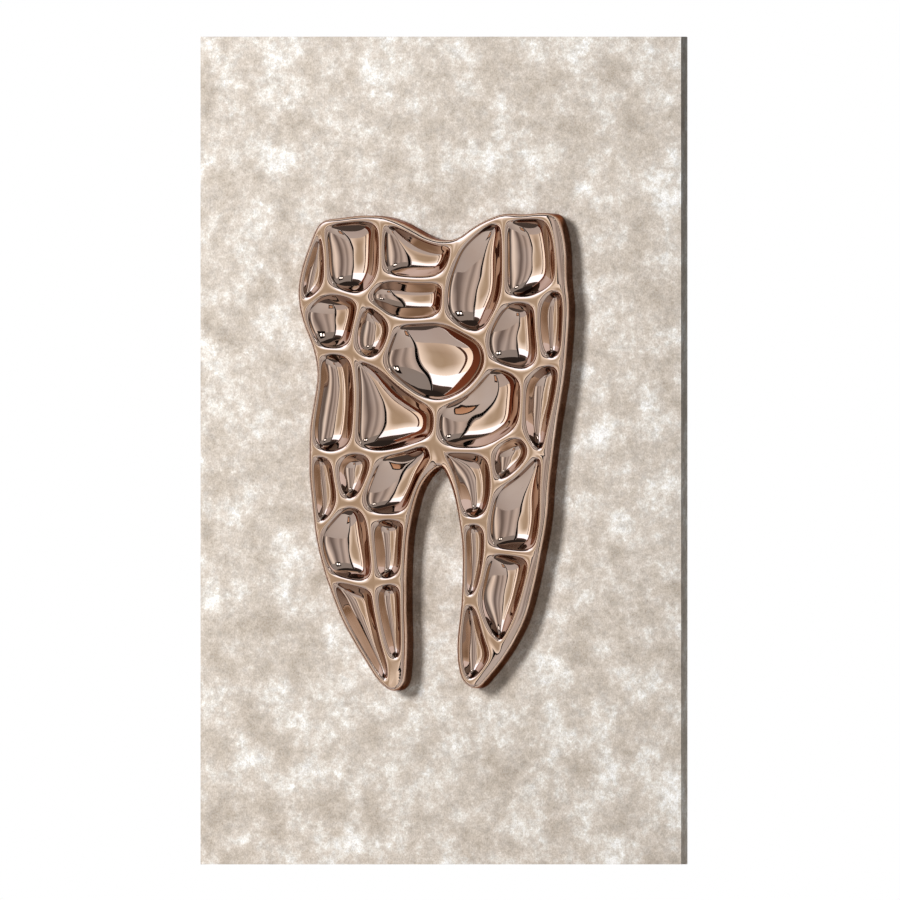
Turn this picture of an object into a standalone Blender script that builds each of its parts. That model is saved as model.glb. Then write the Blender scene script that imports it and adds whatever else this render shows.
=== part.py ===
# Tooth wall sculpture: a mirror-finish relief of a two-rooted molar, bolted from behind to a
# stone-faced panel that hangs on a pair of aluminium cleats.
# Metres, +Z up. The front faces -Y and the wall is the plane y = 0.
# The origin is the middle of the wall cleat's back face, where the wall holds the piece.

import math

import bmesh
import bpy
import numpy as np
from mathutils import Vector

GAP = 0.0003                    # left between pieces that touch

# Panel
PANEL_WIDTH = 0.600
PANEL_HEIGHT = 1.000
PANEL_DEPTH = 0.031
FACE_THICKNESS = 0.006
EDGE_THICKNESS = 0.004
FRAME_WIDTH = 0.032
BRACE_HEIGHT = 0.060
CLEAT_BELOW_TOP = 0.165         # panel top to the origin

# Tooth relief
TOOTH_WIDTH = 0.338
TOOTH_HEIGHT = 0.578
TOOTH_DEPTH = 0.038
POCKET_DEPTH = 0.020
RIB_FLAT = 0.003                # flat top of a rib between two pockets
RIB_ROUND = 0.004               # rounding on each side of that flat
ROUND_DROP = 0.0046
ROUND_STEPS = 2
CREST_DROP = 0.001              # an outer rib's middle line below the inner ribs' tops
CREST_DROP_SHARE = 0.28         # and this much more for what it is wider
WALL_CURVE = 1.4                # a higher power gives a steeper rim and a flatter floor
WALL_STEPS = 4
NARROW_DEPTH = 1.7              # a pocket is at most this many times its reach deep
FULL_REACH = 0.9                # share of a pocket's reach that its wall takes at most
EASINGS = 6                     # times a wall's loop is eased and then moved into place
MOVES = 3
LONGEST_MOVE = 0.002
REACH_STEP = 0.06               # taken off that share while the wall's loops fold over
SPARE_REACH = 1.1               # of the wall's width: one more loop, that is only looked at for this
FOLD_AREA = 4e-7                # twice the area of a triangle that counts as folded over
LEAST_REACH = 0.0036            # a web that reaches less than this from its rim stays solid
OUTER_RUN = 0.003               # rolled outer edge, sideways
OUTER_DROP = 0.011              # rolled outer edge, downwards
OUTER_STEPS = 2
FACET = 0.013                   # length of a rib's straight pieces
RIM_PARTS = 12                  # short lengths of each of them that a wall is measured from

# Cleats
CLEAT_LENGTH = 0.400
CLEAT_SHEET = 0.0025
CLEAT_PLAY = 0.0004
CLEAT_LIP = 0.014
CLEAT_STEP = 0.010              # top of the wall cleat's step, above the origin
CLEAT_FLANGE = 0.024
CLEAT_HOLE_PITCH = 0.100
CLEAT_HOLES = 4
CLEAT_HOLE_DROP = 0.004         # holes below the origin on the wall cleat
RAIL_ABOVE = 0.008              # hanging rail beyond the panel cleat, at its top
RAIL_BELOW = 0.018              # and below the origin

# Fasteners
SCREW_RADIUS = 0.003
SCREW_HEAD_RADIUS = 0.0055
SCREW_HEAD = 0.0048
WASHER_RADIUS = 0.009
WASHER_THICKNESS = 0.0016
COUNTERBORE = 0.010
INSERT_RADIUS = 0.0045
INSERT_LENGTH = 0.012
WOOD_SCREW_RADIUS = 0.0022
WOOD_SCREW_HEAD_RADIUS = 0.0046
WOOD_SCREW_CONE = 0.0020
WOOD_SCREW_LENGTH = 0.016
PAD_RADIUS = 0.012
PAD_THICKNESS = 0.003
PAD_ABOVE_CORNER = 0.060

# Outline of the tooth's front edge in millimetres from its middle, clockwise from the
# crown's left corner: o1, o2 and so on
OUTLINE = [
    (-140, 273), (-116, 278), (-89, 281), (-65, 280), (-45, 274), (-27, 265), (-10, 256), (10, 251),
    (31, 254), (46, 265), (64, 275), (87, 283), (109, 282), (131, 284), (149, 282), (157, 264),
    (161, 236), (162, 202), (165, 176), (164, 146), (161, 107), (157, 76), (152, 47), (147, 16),
    (144, -8), (140, -42), (137, -84), (129, -127), (122, -160), (111, -200), (97, -229), (84, -249),
    (70, -267), (52, -285), (38, -277), (32, -253), (32, -227), (35, -201), (37, -181), (38, -150),
    (38, -117), (34, -85), (29, -60), (22, -38), (9, -16), (-6, -24), (-16, -36), (-22, -48),
    (-26, -60), (-31, -80), (-35, -102), (-37, -127), (-38, -156), (-38, -195), (-37, -229), (-38, -258),
    (-41, -281), (-53, -288), (-69, -275), (-83, -254), (-98, -230), (-112, -205), (-122, -181),
    (-132, -154), (-137, -138), (-142, -119), (-146, -97), (-150, -60), (-153, -30), (-153, 1),
    (-152, 31), (-147, 61), (-143, 91), (-147, 119), (-153, 136), (-160, 153), (-165, 172),
    (-167, 194), (-163, 218), (-154, 245)]

# Points where ribs meet or bend inside the outline, in millimetres: k1, k2 and so on
KNOTS = [
    (-134, 242), (-133, 196), (-65, 210), (-65, 245), (16, 209), (24, 230), (-39, 207), (-10, 205),
    (-88, 183), (-112, 190), (-75, 199), (14, 159), (13, 184), (-19, 156), (-49, 156), (-70, 172),
    (-55, 132), (-68, 106), (-84, 108), (-101, 119), (-100, 141), (-94, 164), (-125, 121), (88, 184),
    (89, 248), (89, 216), (77, 164), (62, 136), (39, 143), (25, 153), (130, 183), (109, 182),
    (145, 196), (129, 152), (135, 107), (124, 96), (112, 92), (95, 98), (69, 105), (80, 104),
    (67, 120), (62, 91), (50, 77), (34, 64), (4, 55), (-16, 62), (-31, 72), (-50, 86),
    (4, 36), (2, 10), (-14, 10), (-31, 2), (-51, -2), (-72, -5), (-100, 3), (-97, 40),
    (-96, 76), (-122, -7), (-138, -4), (-77, -26), (-85, -42), (-93, -63), (-115, -64), (-120, -42),
    (-124, -22), (-130, -85), (-80, -80), (-77, -114), (-74, -135), (-74, -160), (-91, -163), (-111, -156),
    (-73, -185), (-67, -213), (-62, -236), (-54, -257), (109, 24), (111, 48), (112, 71), (126, -2),
    (70, 0), (82, 11), (35, 0), (16, 1), (110, -23), (94, -36), (76, -44), (67, -85),
    (67, -120), (62, -152), (53, -181), (60, -202), (67, -223)]

# The middle lines of the ribs round each pocket, clockwise, where o18:o21 runs along the
# outline, and how far its floor leans to the right and upwards
POCKETS = [
    ("o1 k1 k2 o77:o80", 0.2, 0), ("o1:o4 k4 k3 k11 k9 k10 k2 k1", 0.15, -0.1),
    ("o4:o9 k6 k5 k8 k7 k3 k4", 0.3, -0.2),
    ("o9:o12 k25 k26 k24 k27 k28 k29 k30 k12 k13 k5 k6", 0.35, -0.15),
    ("o12:o18 k33 k31 k32 k24 k26 k25", 0.2, -0.05), ("o18:o21 k35 k34 k31 k33", 0.2, 0),
    ("k3 k7 k8 k5 k13 k12 k14 k15 k16 k9 k11", 0.2, 0.05),
    ("o77 k2 k10 k9 k22 k21 k20 k23 o74:o76", 0.45, 0), ("k9 k16 k15 k17 k18 k19 k20 k21 k22", 0.35, 0),
    ("k15 k14 k12 k30 k29 k28 k41 k39 k42 k43 k44 k45 k46 k47 k48 k18 k17", 0, -0.05),
    ("k24 k32 k31 k34 k35 k36 k37 k38 k40 k39 k41 k28 k27", 0.4, 0.05),
    ("o74 k23 k20 k57 k56 k55 k58 k59 o70:o73", 0.2, 0),
    ("k20 k19 k18 k48 k47 k46 k45 k49 k50 k51 k52 k53 k54 k55 k56 k57", 0.15, -0.1),
    ("k39 k40 k38 k37 k79 k78 k77 k82 k81 k83 k84 k50 k49 k45 k44 k43 k42", 0.2, -0.3),
    ("k37 k36 k35 o21:o25 k80 k77 k78 k79", 0.3, 0), ("o70 k59 k58 k65 k64 k63 k66 o67:o69", 0.2, 0),
    ("k58 k55 k54 k60 k61 k62 k63 k64 k65", 0.2, 0),
    ("k54 k53 k52 k51 k50 o45:o50 k67 k62 k61 k60", 0.5, -0.3),
    ("k50 k84 k83 k81 k87 k88 o42:o45", 0.25, -0.25), ("k77 k80 k85 k86 k87 k81 k82", 0.25, -0.1),
    ("k80 o25:o28 k89 k88 k87 k86 k85", 0.35, -0.25),
    ("k63 k62 k67 k68 k69 k70 k71 k72 o64:o67 k66", 0.3, -0.2), ("k67 o50:o53 k70 k69 k68", 0.1, 0),
    ("o64 k72 k71 k70 k73 k74 k75 k76 o58:o63", 0.15, 0.1), ("k70 o53:o56 k76 k75 k74 k73", 0.2, 0),
    ("o42 k88 k89 k90 k91 o39:o41", 0.2, 0), ("k89 o28:o32 k93 k92 k91 k90", 0.25, -0.1),
    ("k91 k92 k93 o32:o39", 0.2, 0), ("k76 o56:o58", 0, 0)]

# Ribs that are wider than the rest, on the pocket's side, in millimetres
WIDER_RIBS = {
    "o9 o10": 5, "o10 o11": 2, "k6 o9": 2.5, "o15 o16": 6, "o16 o17": 6, "o17 o18": 6,
    "o23 o24": 2.5, "o24 o25": 5, "o25 o26": 5, "o26 o27": 2, "o28 o29": 4, "o29 o30": 5.5,
    "o30 o31": 6, "o31 o32": 6, "o32 o33": 6, "o33 o34": 4, "k93 o32": 5, "o43 o44": 2,
    "o44 o45": 5, "k50 o45": 7, "k50 k84": 1, "o45 o46": 7, "o46 o47": 2.5}

# Knots with a threaded insert behind them, row by row; each row has its own brace
FIXINGS = {"upper": ("k9", "k24"), "middle": ("k55", "k81"), "lower": ("k70", "k90")}

# Depths that follow from the sizes above
PANEL_BACK = -(PAD_THICKNESS + GAP)
PANEL_FRONT = PANEL_BACK - PANEL_DEPTH
FRAME_FRONT = PANEL_FRONT + FACE_THICKNESS + GAP
TOOTH_BACK = PANEL_FRONT - GAP
TOOTH_FRONT = TOOTH_BACK - TOOTH_DEPTH
PANEL_TOP = CLEAT_BELOW_TOP
PANEL_MIDDLE = PANEL_TOP - PANEL_HEIGHT / 2
CLEAT_SLOT = CLEAT_SHEET + 2 * CLEAT_PLAY
CLEAT_REACH = CLEAT_SHEET + CLEAT_SLOT
# The panel cleat is the wall cleat turned half a turn about a line along X at half of these
CLEAT_TURN_Y = -(CLEAT_PLAY + CLEAT_REACH)
CLEAT_TURN_Z = 2 * CLEAT_STEP + CLEAT_LIP + GAP
RAIL_BACK = CLEAT_TURN_Y - GAP
SCREW_SEAT = PANEL_BACK - COUNTERBORE + 2 * GAP + WASHER_THICKNESS

for old in list(bpy.data.objects):
    bpy.data.objects.remove(old, do_unlink=True)


def add_collection(name):
    collection = bpy.data.collections.new(name)
    bpy.context.scene.collection.children.link(collection)
    return collection


parts = add_collection("tooth_sculpture")
cutters = add_collection("cutters")


def add_material(name, colour, roughness, metallic=0.0):
    material = bpy.data.materials.new(name)
    material.use_nodes = True
    shader = material.node_tree.nodes["Principled BSDF"]
    shader.inputs["Base Color"].default_value = (*colour, 1.0)
    shader.inputs["Roughness"].default_value = roughness
    shader.inputs["Metallic"].default_value = metallic
    return material


def add_frame(name):
    frame = bpy.data.objects.new(name, None)
    parts.objects.link(frame)
    return frame


wall = add_frame("wall")
sculpture = add_frame("sculpture")      # slides up the wall cleat along +Z


def add_part(name, mesh, colour, roughness, metallic=0.0, parent=sculpture):
    part = bpy.data.objects.new(name, mesh)
    parts.objects.link(part)
    part.parent = parent
    part.data.materials.append(add_material(name, colour, roughness, metallic))
    return part


def add_cutter(name, mesh):
    cutter = bpy.data.objects.new(name, mesh)
    cutters.objects.link(cutter)
    cutter.hide_render = True
    cutter.display_type = "WIRE"
    return cutter


def cut(part, cutter):
    boolean = part.modifiers.new(cutter.name, "BOOLEAN")
    boolean.operation = "DIFFERENCE"
    boolean.object = cutter


def mesh_from(bm, name):
    mesh = bpy.data.meshes.new(name)
    bm.to_mesh(mesh)
    bm.free()
    return mesh


def box_mesh(name, width, depth, height):
    bm = bmesh.new()
    bmesh.ops.create_cube(bm, size=1.0)
    bmesh.ops.scale(bm, vec=(width, depth, height), verts=bm.verts)
    return mesh_from(bm, name)


def turn(part, profile, steps, closed=False):
    """Spin a profile of (radius, height) points, outer side downwards, about the part's Z."""
    bm = bmesh.new()
    points = [bm.verts.new((radius, 0, height)) for radius, height in profile]
    ends = points[1:] + points[:1] if closed else points[1:]
    for start, end in zip(points, ends):
        bm.edges.new((start, end))
    bm.to_mesh(part.data)
    bm.free()
    screw = part.modifiers.new("turned", "SCREW")
    screw.axis = "Z"
    screw.steps = steps
    screw.render_steps = steps
    screw.use_merge_vertices = True
    screw.merge_threshold = 0.0001
    screw.use_smooth_shade = False


def face_forward(part, x, y, z):
    """Place a turned piece so that its own +Z points out of the panel's front."""
    part.location = (x, y, z)
    part.rotation_euler = (math.radians(90), 0, 0)


def smooth_round(part, angle=35):
    part.data.shade_smooth()
    part.data.set_sharp_from_angle(angle=math.radians(angle))


def x_scale():
    widths = [x for x, z in OUTLINE]
    return (TOOTH_WIDTH - 2 * OUTER_RUN) / (max(widths) - min(widths))


def z_scale():
    heights = [z for x, z in OUTLINE]
    return (TOOTH_HEIGHT - 2 * OUTER_RUN) / (max(heights) - min(heights))


def knot(name):
    """A rib point as (x, z) in metres from the tooth's middle."""
    table = OUTLINE if name[0] == "o" else KNOTS
    x, z = table[int(name[1:]) - 1]
    return Vector((x * x_scale(), z * z_scale()))


def knot_names(text):
    names = []
    for word in text.split():
        first, *last = word.split(":")
        if last:
            names += [f"o{i}" for i in range(int(first[1:]), int(last[0][1:]) + 1)]
        else:
            names.append(first)
    return names


def wider(a, b):
    return WIDER_RIBS.get(f"{a} {b}", WIDER_RIBS.get(f"{b} {a}", 0)) * 0.001


def crossing(point, along, other, other_along):
    """Where two lines in the plane meet, or halfway between them if they run alike."""
    turn_between = along.cross(other_along)
    if abs(turn_between) < 0.3:
        return (point + other) / 2
    return point + along * ((other - point).cross(other_along) / turn_between)


def offset_corners(names, distance, widened=True):
    """Move each rib of a clockwise loop inwards by a distance, or outwards if negative."""
    count = len(names)
    starts, lines = [knot(name) for name in names], []
    for i, name in enumerate(names):
        following = (i + 1) % count
        along = (starts[following] - starts[i]).normalized()
        inward = Vector((along.y, -along.x))
        move = distance + (wider(name, names[following]) if widened else 0)
        lines.append((inward * move, along))
    corners = []
    for i, start in enumerate(starts):
        (move_before, before), (move_after, after) = lines[i - 1], lines[i]
        corners.append(crossing(start + move_before, before, start + move_after, after))
    return corners


def facets(a, b):
    return max(1, round((knot(a) - knot(b)).length / FACET))


def outline_knot(number):
    return knot(f"o{(number - 1) % len(OUTLINE) + 1}")


def bulge(a, b, share):
    """How far the outline's smooth curve stands off the straight line from knot a to knot b."""
    if a[0] != "o" or b[0] != "o":
        return Vector((0, 0))
    first, second = int(a[1:]), int(b[1:])
    if (second - first) % len(OUTLINE) != 1:
        return Vector((0, 0))
    start, end = outline_knot(first), outline_knot(second)
    bend_in = (end - outline_knot(first - 1)) / 2 - (end - start)
    bend_out = (outline_knot(second + 1) - start) / 2 - (end - start)
    return share * (1 - share) * ((1 - share) * bend_in - share * bend_out)


def divided(names, corners):
    """Split each side of a loop into as many pieces as its rib has."""
    points = []
    for i, name in enumerate(names):
        following = names[(i + 1) % len(names)]
        next_corner = corners[(i + 1) % len(names)]
        count = facets(name, following)
        for k in range(count):
            points.append(corners[i].lerp(next_corner, k / count) + bulge(name, following, k / count))
    return points


def rounded(points, passes):
    """Ease the corners of a closed loop."""
    for _ in range(passes):
        points = (np.roll(points, 1, axis=0) + 4 * points + np.roll(points, -1, axis=0)) / 6
    return points


def rib_edge(names, out):
    """A pocket's loop at a distance out from the flat tops of its ribs, rounder further out."""
    sharp = np.array(divided(names, offset_corners(names, RIB_FLAT / 2 + out)))
    share = out / RIB_ROUND
    return rounded(sharp, 1) * (1 - share) + rounded(sharp, 2) * share


def rim_lengths(rim, lean):
    """The middles of a rim's short lengths and their weights, greater where the pocket leans away."""
    along = np.roll(rim, -1, axis=0) - rim
    shares = (np.arange(RIM_PARTS) + 0.5) / RIM_PARTS
    middles = (rim[:, None, :] + along[:, None, :] * shares[None, :, None]).reshape(-1, 2)
    lengths = np.repeat(np.linalg.norm(along, axis=1), RIM_PARTS) / RIM_PARTS
    inward = rim.mean(axis=0) - middles
    inward = inward / np.linalg.norm(inward, axis=1)[:, None]
    return middles, lengths * (1 + inward @ lean) ** 2


def wall_distance(places, rim_parts):
    """A smooth distance from the rim, exact along a straight wall, and its gradient."""
    middles, weights = rim_parts
    away = places[:, None, :] - middles[None, :, :]
    squared = (away ** 2).sum(axis=2)
    total = 0.5 * (weights * squared ** -1.5).sum(axis=1)
    slope = -1.5 * (weights[None, :, None] * away * squared[:, :, None] ** -2.5).sum(axis=1)
    return total ** -0.5, -0.5 * total[:, None] ** -1.5 * slope


def wall_ring(places, distance, rim_parts):
    """Move a loop along a pocket's wall until it keeps one distance from the rim."""
    for _ in range(EASINGS):
        places = rounded(places, 1)
        for _ in range(MOVES):
            found, gradient = wall_distance(places, rim_parts)
            move = gradient * ((distance - found) / (gradient ** 2).sum(axis=1))[:, None]
            length = np.linalg.norm(move, axis=1)[:, None]
            places = places + move * np.minimum(1, LONGEST_MOVE / np.maximum(length, 1e-9))
    return places


def turned_area(a, b, c):
    """Twice the area of the triangles a, b, c, positive where they run anticlockwise."""
    return (b[:, 0] - a[:, 0]) * (c[:, 1] - a[:, 1]) - (b[:, 1] - a[:, 1]) * (c[:, 0] - a[:, 0])


def are_folded(loops):
    """Whether the band between any two of these clockwise loops lies back over itself."""
    for outer, inner in zip(loops, loops[1:]):
        next_outer, next_inner = np.roll(outer, -1, axis=0), np.roll(inner, -1, axis=0)
        areas = [turned_area(outer, next_outer, inner), turned_area(outer, next_outer, next_inner),
                 turned_area(outer, next_inner, inner), turned_area(next_outer, next_inner, inner)]
        if np.max(areas) > FOLD_AREA:
            return True
    return False


def wall_rings(rim, rim_parts, width):
    """The loops of a pocket's wall from its rim to its floor, and one beyond them."""
    along = np.roll(rim, -1, axis=0) - np.roll(rim, 1, axis=0)
    inward = np.stack([along[:, 1], -along[:, 0]], axis=1) / np.linalg.norm(along, axis=1)[:, None]
    places = rim + inward * width / (2 * WALL_STEPS)
    rings = []
    for share in [step / WALL_STEPS for step in range(1, WALL_STEPS + 1)] + [SPARE_REACH]:
        places = wall_ring(places, share * width, rim_parts)
        rings.append(places)
    return rings


def pocket_reach(rim, rim_parts):
    """The greatest distance from the rim, found on the lines from it to the pocket's middle."""
    middle = rim.mean(axis=0)
    tries = [rim + (middle - rim) * share for share in np.linspace(0.3, 1, 15)]
    return max(wall_distance(places, rim_parts)[0].max() for places in tries)


def soft_least(a, b):
    return (a ** -4 + b ** -4) ** -0.25


def quarter_turn(run, drop, steps):
    """The (sideways, downwards) steps of a quarter of an ellipse, after its start."""
    angles = [math.radians(90) * step / steps for step in range(1, steps + 1)]
    return [(run * math.sin(angle), drop * (1 - math.cos(angle))) for angle in angles]


def pocket_rings(names, lean):
    """Rings of a pocket from its ribs' flat tops to its floor, as (points, depth) pairs."""
    rim = rib_edge(names, RIB_ROUND)
    rim_parts = rim_lengths(rim, lean)
    reach = pocket_reach(rim, rim_parts)
    if reach < LEAST_REACH:
        return []
    rings = [(rib_edge(names, 0), 0)]
    rings += [(rib_edge(names, run), drop) for run, drop in quarter_turn(RIB_ROUND, ROUND_DROP, ROUND_STEPS)]
    depth = soft_least(POCKET_DEPTH, NARROW_DEPTH * reach)
    reach_share = FULL_REACH
    loops = wall_rings(rim, rim_parts, reach_share * reach)
    while are_folded(loops) and reach_share > 2 * REACH_STEP:
        reach_share -= REACH_STEP
        loops = wall_rings(rim, rim_parts, reach_share * reach)
    for step, places in enumerate(loops[:WALL_STEPS], 1):
        share = 1 - (1 - reach_share * step / WALL_STEPS) ** WALL_CURVE
        rings.append((places, ROUND_DROP + (depth - ROUND_DROP) * share))
    return rings


def add_ring(bm, points, depths):
    return [bm.verts.new((x, TOOTH_FRONT + depth, PANEL_MIDDLE + z)) for (x, z), depth in zip(points, depths)]


def bridge(bm, outer, inner):
    count = len(outer)
    for i in range(count):
        following = (i + 1) % count
        bm.faces.new((outer[i], inner[i], inner[following], outer[following]))


def crest_drop(name):
    """An outer rib's middle line lies lower than the inner ribs, more so where it is wide."""
    if name[0] != "o":
        return 0
    total = len(OUTLINE)
    number = int(name[1:])
    before = wider(f"o{(number - 2) % total + 1}", name)
    after = wider(name, f"o{number % total + 1}")
    return CREST_DROP + CREST_DROP_SHARE * (before + after) / 2


def crest_ring(bm, names, made):
    """The points on the middle lines of a pocket's ribs, shared with its neighbours."""
    ring = []
    for i, name in enumerate(names):
        following = names[(i + 1) % len(names)]
        count = facets(name, following)
        for k in range(count):
            if k == 0:
                key = name
            elif name < following:
                key = (name, following, k)
            else:
                key = (following, name, count - k)
            if key not in made:
                point = knot(name).lerp(knot(following), k / count) + bulge(name, following, k / count)
                drop = crest_drop(name) + (crest_drop(following) - crest_drop(name)) * k / count
                made[key] = add_ring(bm, [point], [drop])[0]
            ring.append(made[key])
    return ring


def tooth_mesh():
    bm = bmesh.new()
    made = {}
    for text, right, up in POCKETS:
        names = knot_names(text)
        outer = crest_ring(bm, names, made)
        for points, depth in pocket_rings(names, np.array([right, up])):
            inner = add_ring(bm, points, [depth] * len(points))
            bridge(bm, outer, inner)
            outer = inner
        bm.faces.new(list(reversed(outer)))
    outline = [f"o{i + 1}" for i in range(len(OUTLINE))]
    inner = crest_ring(bm, outline, made)
    crest_depths = [vertex.co.y - TOOTH_FRONT for vertex in inner]
    steps = quarter_turn(OUTER_RUN, OUTER_DROP, OUTER_STEPS)
    for run, drop in steps + [(OUTER_RUN, TOOTH_DEPTH)]:
        sharp = np.array(divided(outline, offset_corners(outline, -run, False)))
        points = sharp + (rounded(sharp, 1) - sharp) * run / OUTER_RUN
        depths = [crest + drop / TOOTH_DEPTH * (TOOTH_DEPTH - crest) for crest in crest_depths]
        outer = add_ring(bm, points, depths)
        bridge(bm, outer, inner)
        inner = outer
    bm.faces.new(inner)
    bmesh.ops.recalc_face_normals(bm, faces=bm.faces)
    return mesh_from(bm, "tooth_casting")


def fixing_places():
    """Each fixing's row and its place on the panel."""
    places = []
    for row, names in FIXINGS.items():
        for name in names:
            point = knot(name)
            places.append((row, point.x, PANEL_MIDDLE + point.y))
    return places


def row_middle(row):
    heights = [z for place_row, x, z in fixing_places() if place_row == row]
    return sum(heights) / len(heights)


def make_tooth():
    tooth = add_part("tooth_casting", tooth_mesh(), (0.72, 0.52, 0.42), 0.06, 1.0)
    hole = INSERT_RADIUS + GAP
    depth = INSERT_LENGTH + 3 * GAP
    for index, (row, x, z) in enumerate(fixing_places(), 1):
        cutter = add_cutter(f"insert_hole_{index}", bpy.data.meshes.new("insert_hole"))
        turn(cutter, [(0, depth), (hole, depth), (hole, -0.002), (0, -0.002)], 12)
        face_forward(cutter, x, TOOTH_BACK, z)
        cut(tooth, cutter)
    smooth_round(tooth, 40)


def make_fixings():
    bore = SCREW_RADIUS + GAP
    length = SCREW_SEAT - TOOTH_BACK + INSERT_LENGTH - 0.001
    for index, (row, x, z) in enumerate(fixing_places(), 1):
        insert = add_part(f"insert_{index}", bpy.data.meshes.new("insert"), (0.71, 0.56, 0.25), 0.3, 1.0)
        turn(insert, [(bore, INSERT_LENGTH), (INSERT_RADIUS, INSERT_LENGTH), (INSERT_RADIUS, 0), (bore, 0)],
             12, closed=True)
        face_forward(insert, x, TOOTH_BACK - GAP, z)
        washer = add_part(f"washer_{index}", bpy.data.meshes.new("washer"), (0.6, 0.6, 0.62), 0.35, 1.0)
        turn(washer, [(bore, WASHER_THICKNESS), (WASHER_RADIUS, WASHER_THICKNESS), (WASHER_RADIUS, 0), (bore, 0)],
             16, closed=True)
        face_forward(washer, x, SCREW_SEAT - GAP, z)
        screw = add_part(f"screw_{index}", bpy.data.meshes.new("screw"), (0.55, 0.56, 0.58), 0.35, 1.0)
        turn(screw, [(0, length), (SCREW_RADIUS, length), (SCREW_RADIUS, 0), (SCREW_HEAD_RADIUS, 0),
                     (SCREW_HEAD_RADIUS, -SCREW_HEAD), (0, -SCREW_HEAD)], 12)
        face_forward(screw, x, SCREW_SEAT, z)
        for piece in (insert, washer, screw):
            smooth_round(piece)


def mitred_bar(name, length, width, depth):
    """A bar along X whose ends run in at 45 degrees towards -Z, with its outer face at z = 0."""
    bm = bmesh.new()
    bmesh.ops.create_cube(bm, size=1.0)
    bmesh.ops.scale(bm, vec=(length, depth, width), verts=bm.verts)
    bmesh.ops.translate(bm, vec=(0, 0, -width / 2), verts=bm.verts)
    for vert in bm.verts:
        if vert.co.z < -width / 2:
            vert.co.x -= math.copysign(width, vert.co.x)
    return mesh_from(bm, name)


SIDES = {"top": 0, "right": 90, "bottom": 180, "left": 270}


def make_surround(names, inset, width, colour, roughness):
    """Four mitred bars round the panel, set in from its edge, between the face board and the back."""
    depth = PANEL_BACK - FRAME_FRONT
    for side, angle in SIDES.items():
        span, reach = (PANEL_WIDTH, PANEL_HEIGHT) if side in ("top", "bottom") else (PANEL_HEIGHT, PANEL_WIDTH)
        mitre_gap = GAP * math.sqrt(2)
        mesh = mitred_bar(names[side], span - 2 * inset - mitre_gap, width, depth)
        bar = add_part(names[side], mesh, colour, roughness)
        away = reach / 2 - inset
        turned = math.radians(angle)
        bar.location = (away * math.sin(turned), (FRAME_FRONT + PANEL_BACK) / 2,
                        PANEL_MIDDLE + away * math.cos(turned))
        bar.rotation_euler = (0, turned, 0)


def make_panel():
    board = add_part("face_board", box_mesh("face_board", PANEL_WIDTH, FACE_THICKNESS, PANEL_HEIGHT),
                     (0.58, 0.53, 0.46), 0.85)
    board.location = (0, PANEL_FRONT + FACE_THICKNESS / 2, PANEL_MIDDLE)
    bore = SCREW_RADIUS + GAP
    for index, (row, x, z) in enumerate(fixing_places(), 1):
        cutter = add_cutter(f"board_hole_{index}", bpy.data.meshes.new("board_hole"))
        turn(cutter, [(0, 0.002), (bore, 0.002), (bore, -FACE_THICKNESS - 0.002), (0, -FACE_THICKNESS - 0.002)], 12)
        face_forward(cutter, x, PANEL_FRONT, z)
        cut(board, cutter)
    strips = {side: f"edge_strip_{side}" for side in SIDES}
    make_surround(strips, 0, EDGE_THICKNESS, (0.50, 0.46, 0.40), 0.85)
    bars = {"top": "frame_rail_top", "right": "frame_stile_right",
            "bottom": "frame_rail_bottom", "left": "frame_stile_left"}
    make_surround(bars, EDGE_THICKNESS + GAP, FRAME_WIDTH, (0.55, 0.38, 0.22), 0.6)


def clear_width():
    """Room between the two stiles."""
    return PANEL_WIDTH - 2 * (EDGE_THICKNESS + GAP + FRAME_WIDTH)


def make_braces():
    bore, seat = SCREW_RADIUS + GAP, WASHER_RADIUS + 2 * GAP
    depth = PANEL_BACK - FRAME_FRONT
    for row in FIXINGS:
        name = f"brace_{row}"
        brace = add_part(name, box_mesh(name, clear_width() - 2 * GAP, depth, BRACE_HEIGHT),
                         (0.58, 0.42, 0.26), 0.6)
        brace.location = (0, (FRAME_FRONT + PANEL_BACK) / 2, row_middle(row))
        for index, (place_row, x, z) in enumerate(fixing_places(), 1):
            if place_row != row:
                continue
            cutter = add_cutter(f"brace_hole_{index}", bpy.data.meshes.new("brace_hole"))
            turn(cutter, [(0, depth + 0.002), (bore, depth + 0.002), (bore, COUNTERBORE), (seat, COUNTERBORE),
                          (seat, -0.002), (0, -0.002)], 16)
            face_forward(cutter, x, PANEL_BACK, z)
            cut(brace, cutter)


def cleat_profile():
    """The wall cleat's section as (y, z) points."""
    foot, top = CLEAT_STEP - CLEAT_FLANGE, CLEAT_STEP + CLEAT_LIP
    return [(0, foot), (-CLEAT_SHEET, foot), (-CLEAT_SHEET, CLEAT_STEP - CLEAT_SHEET),
            (-CLEAT_REACH, CLEAT_STEP - CLEAT_SHEET), (-CLEAT_REACH, top), (-CLEAT_SLOT, top),
            (-CLEAT_SLOT, CLEAT_STEP), (0, CLEAT_STEP)]


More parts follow.
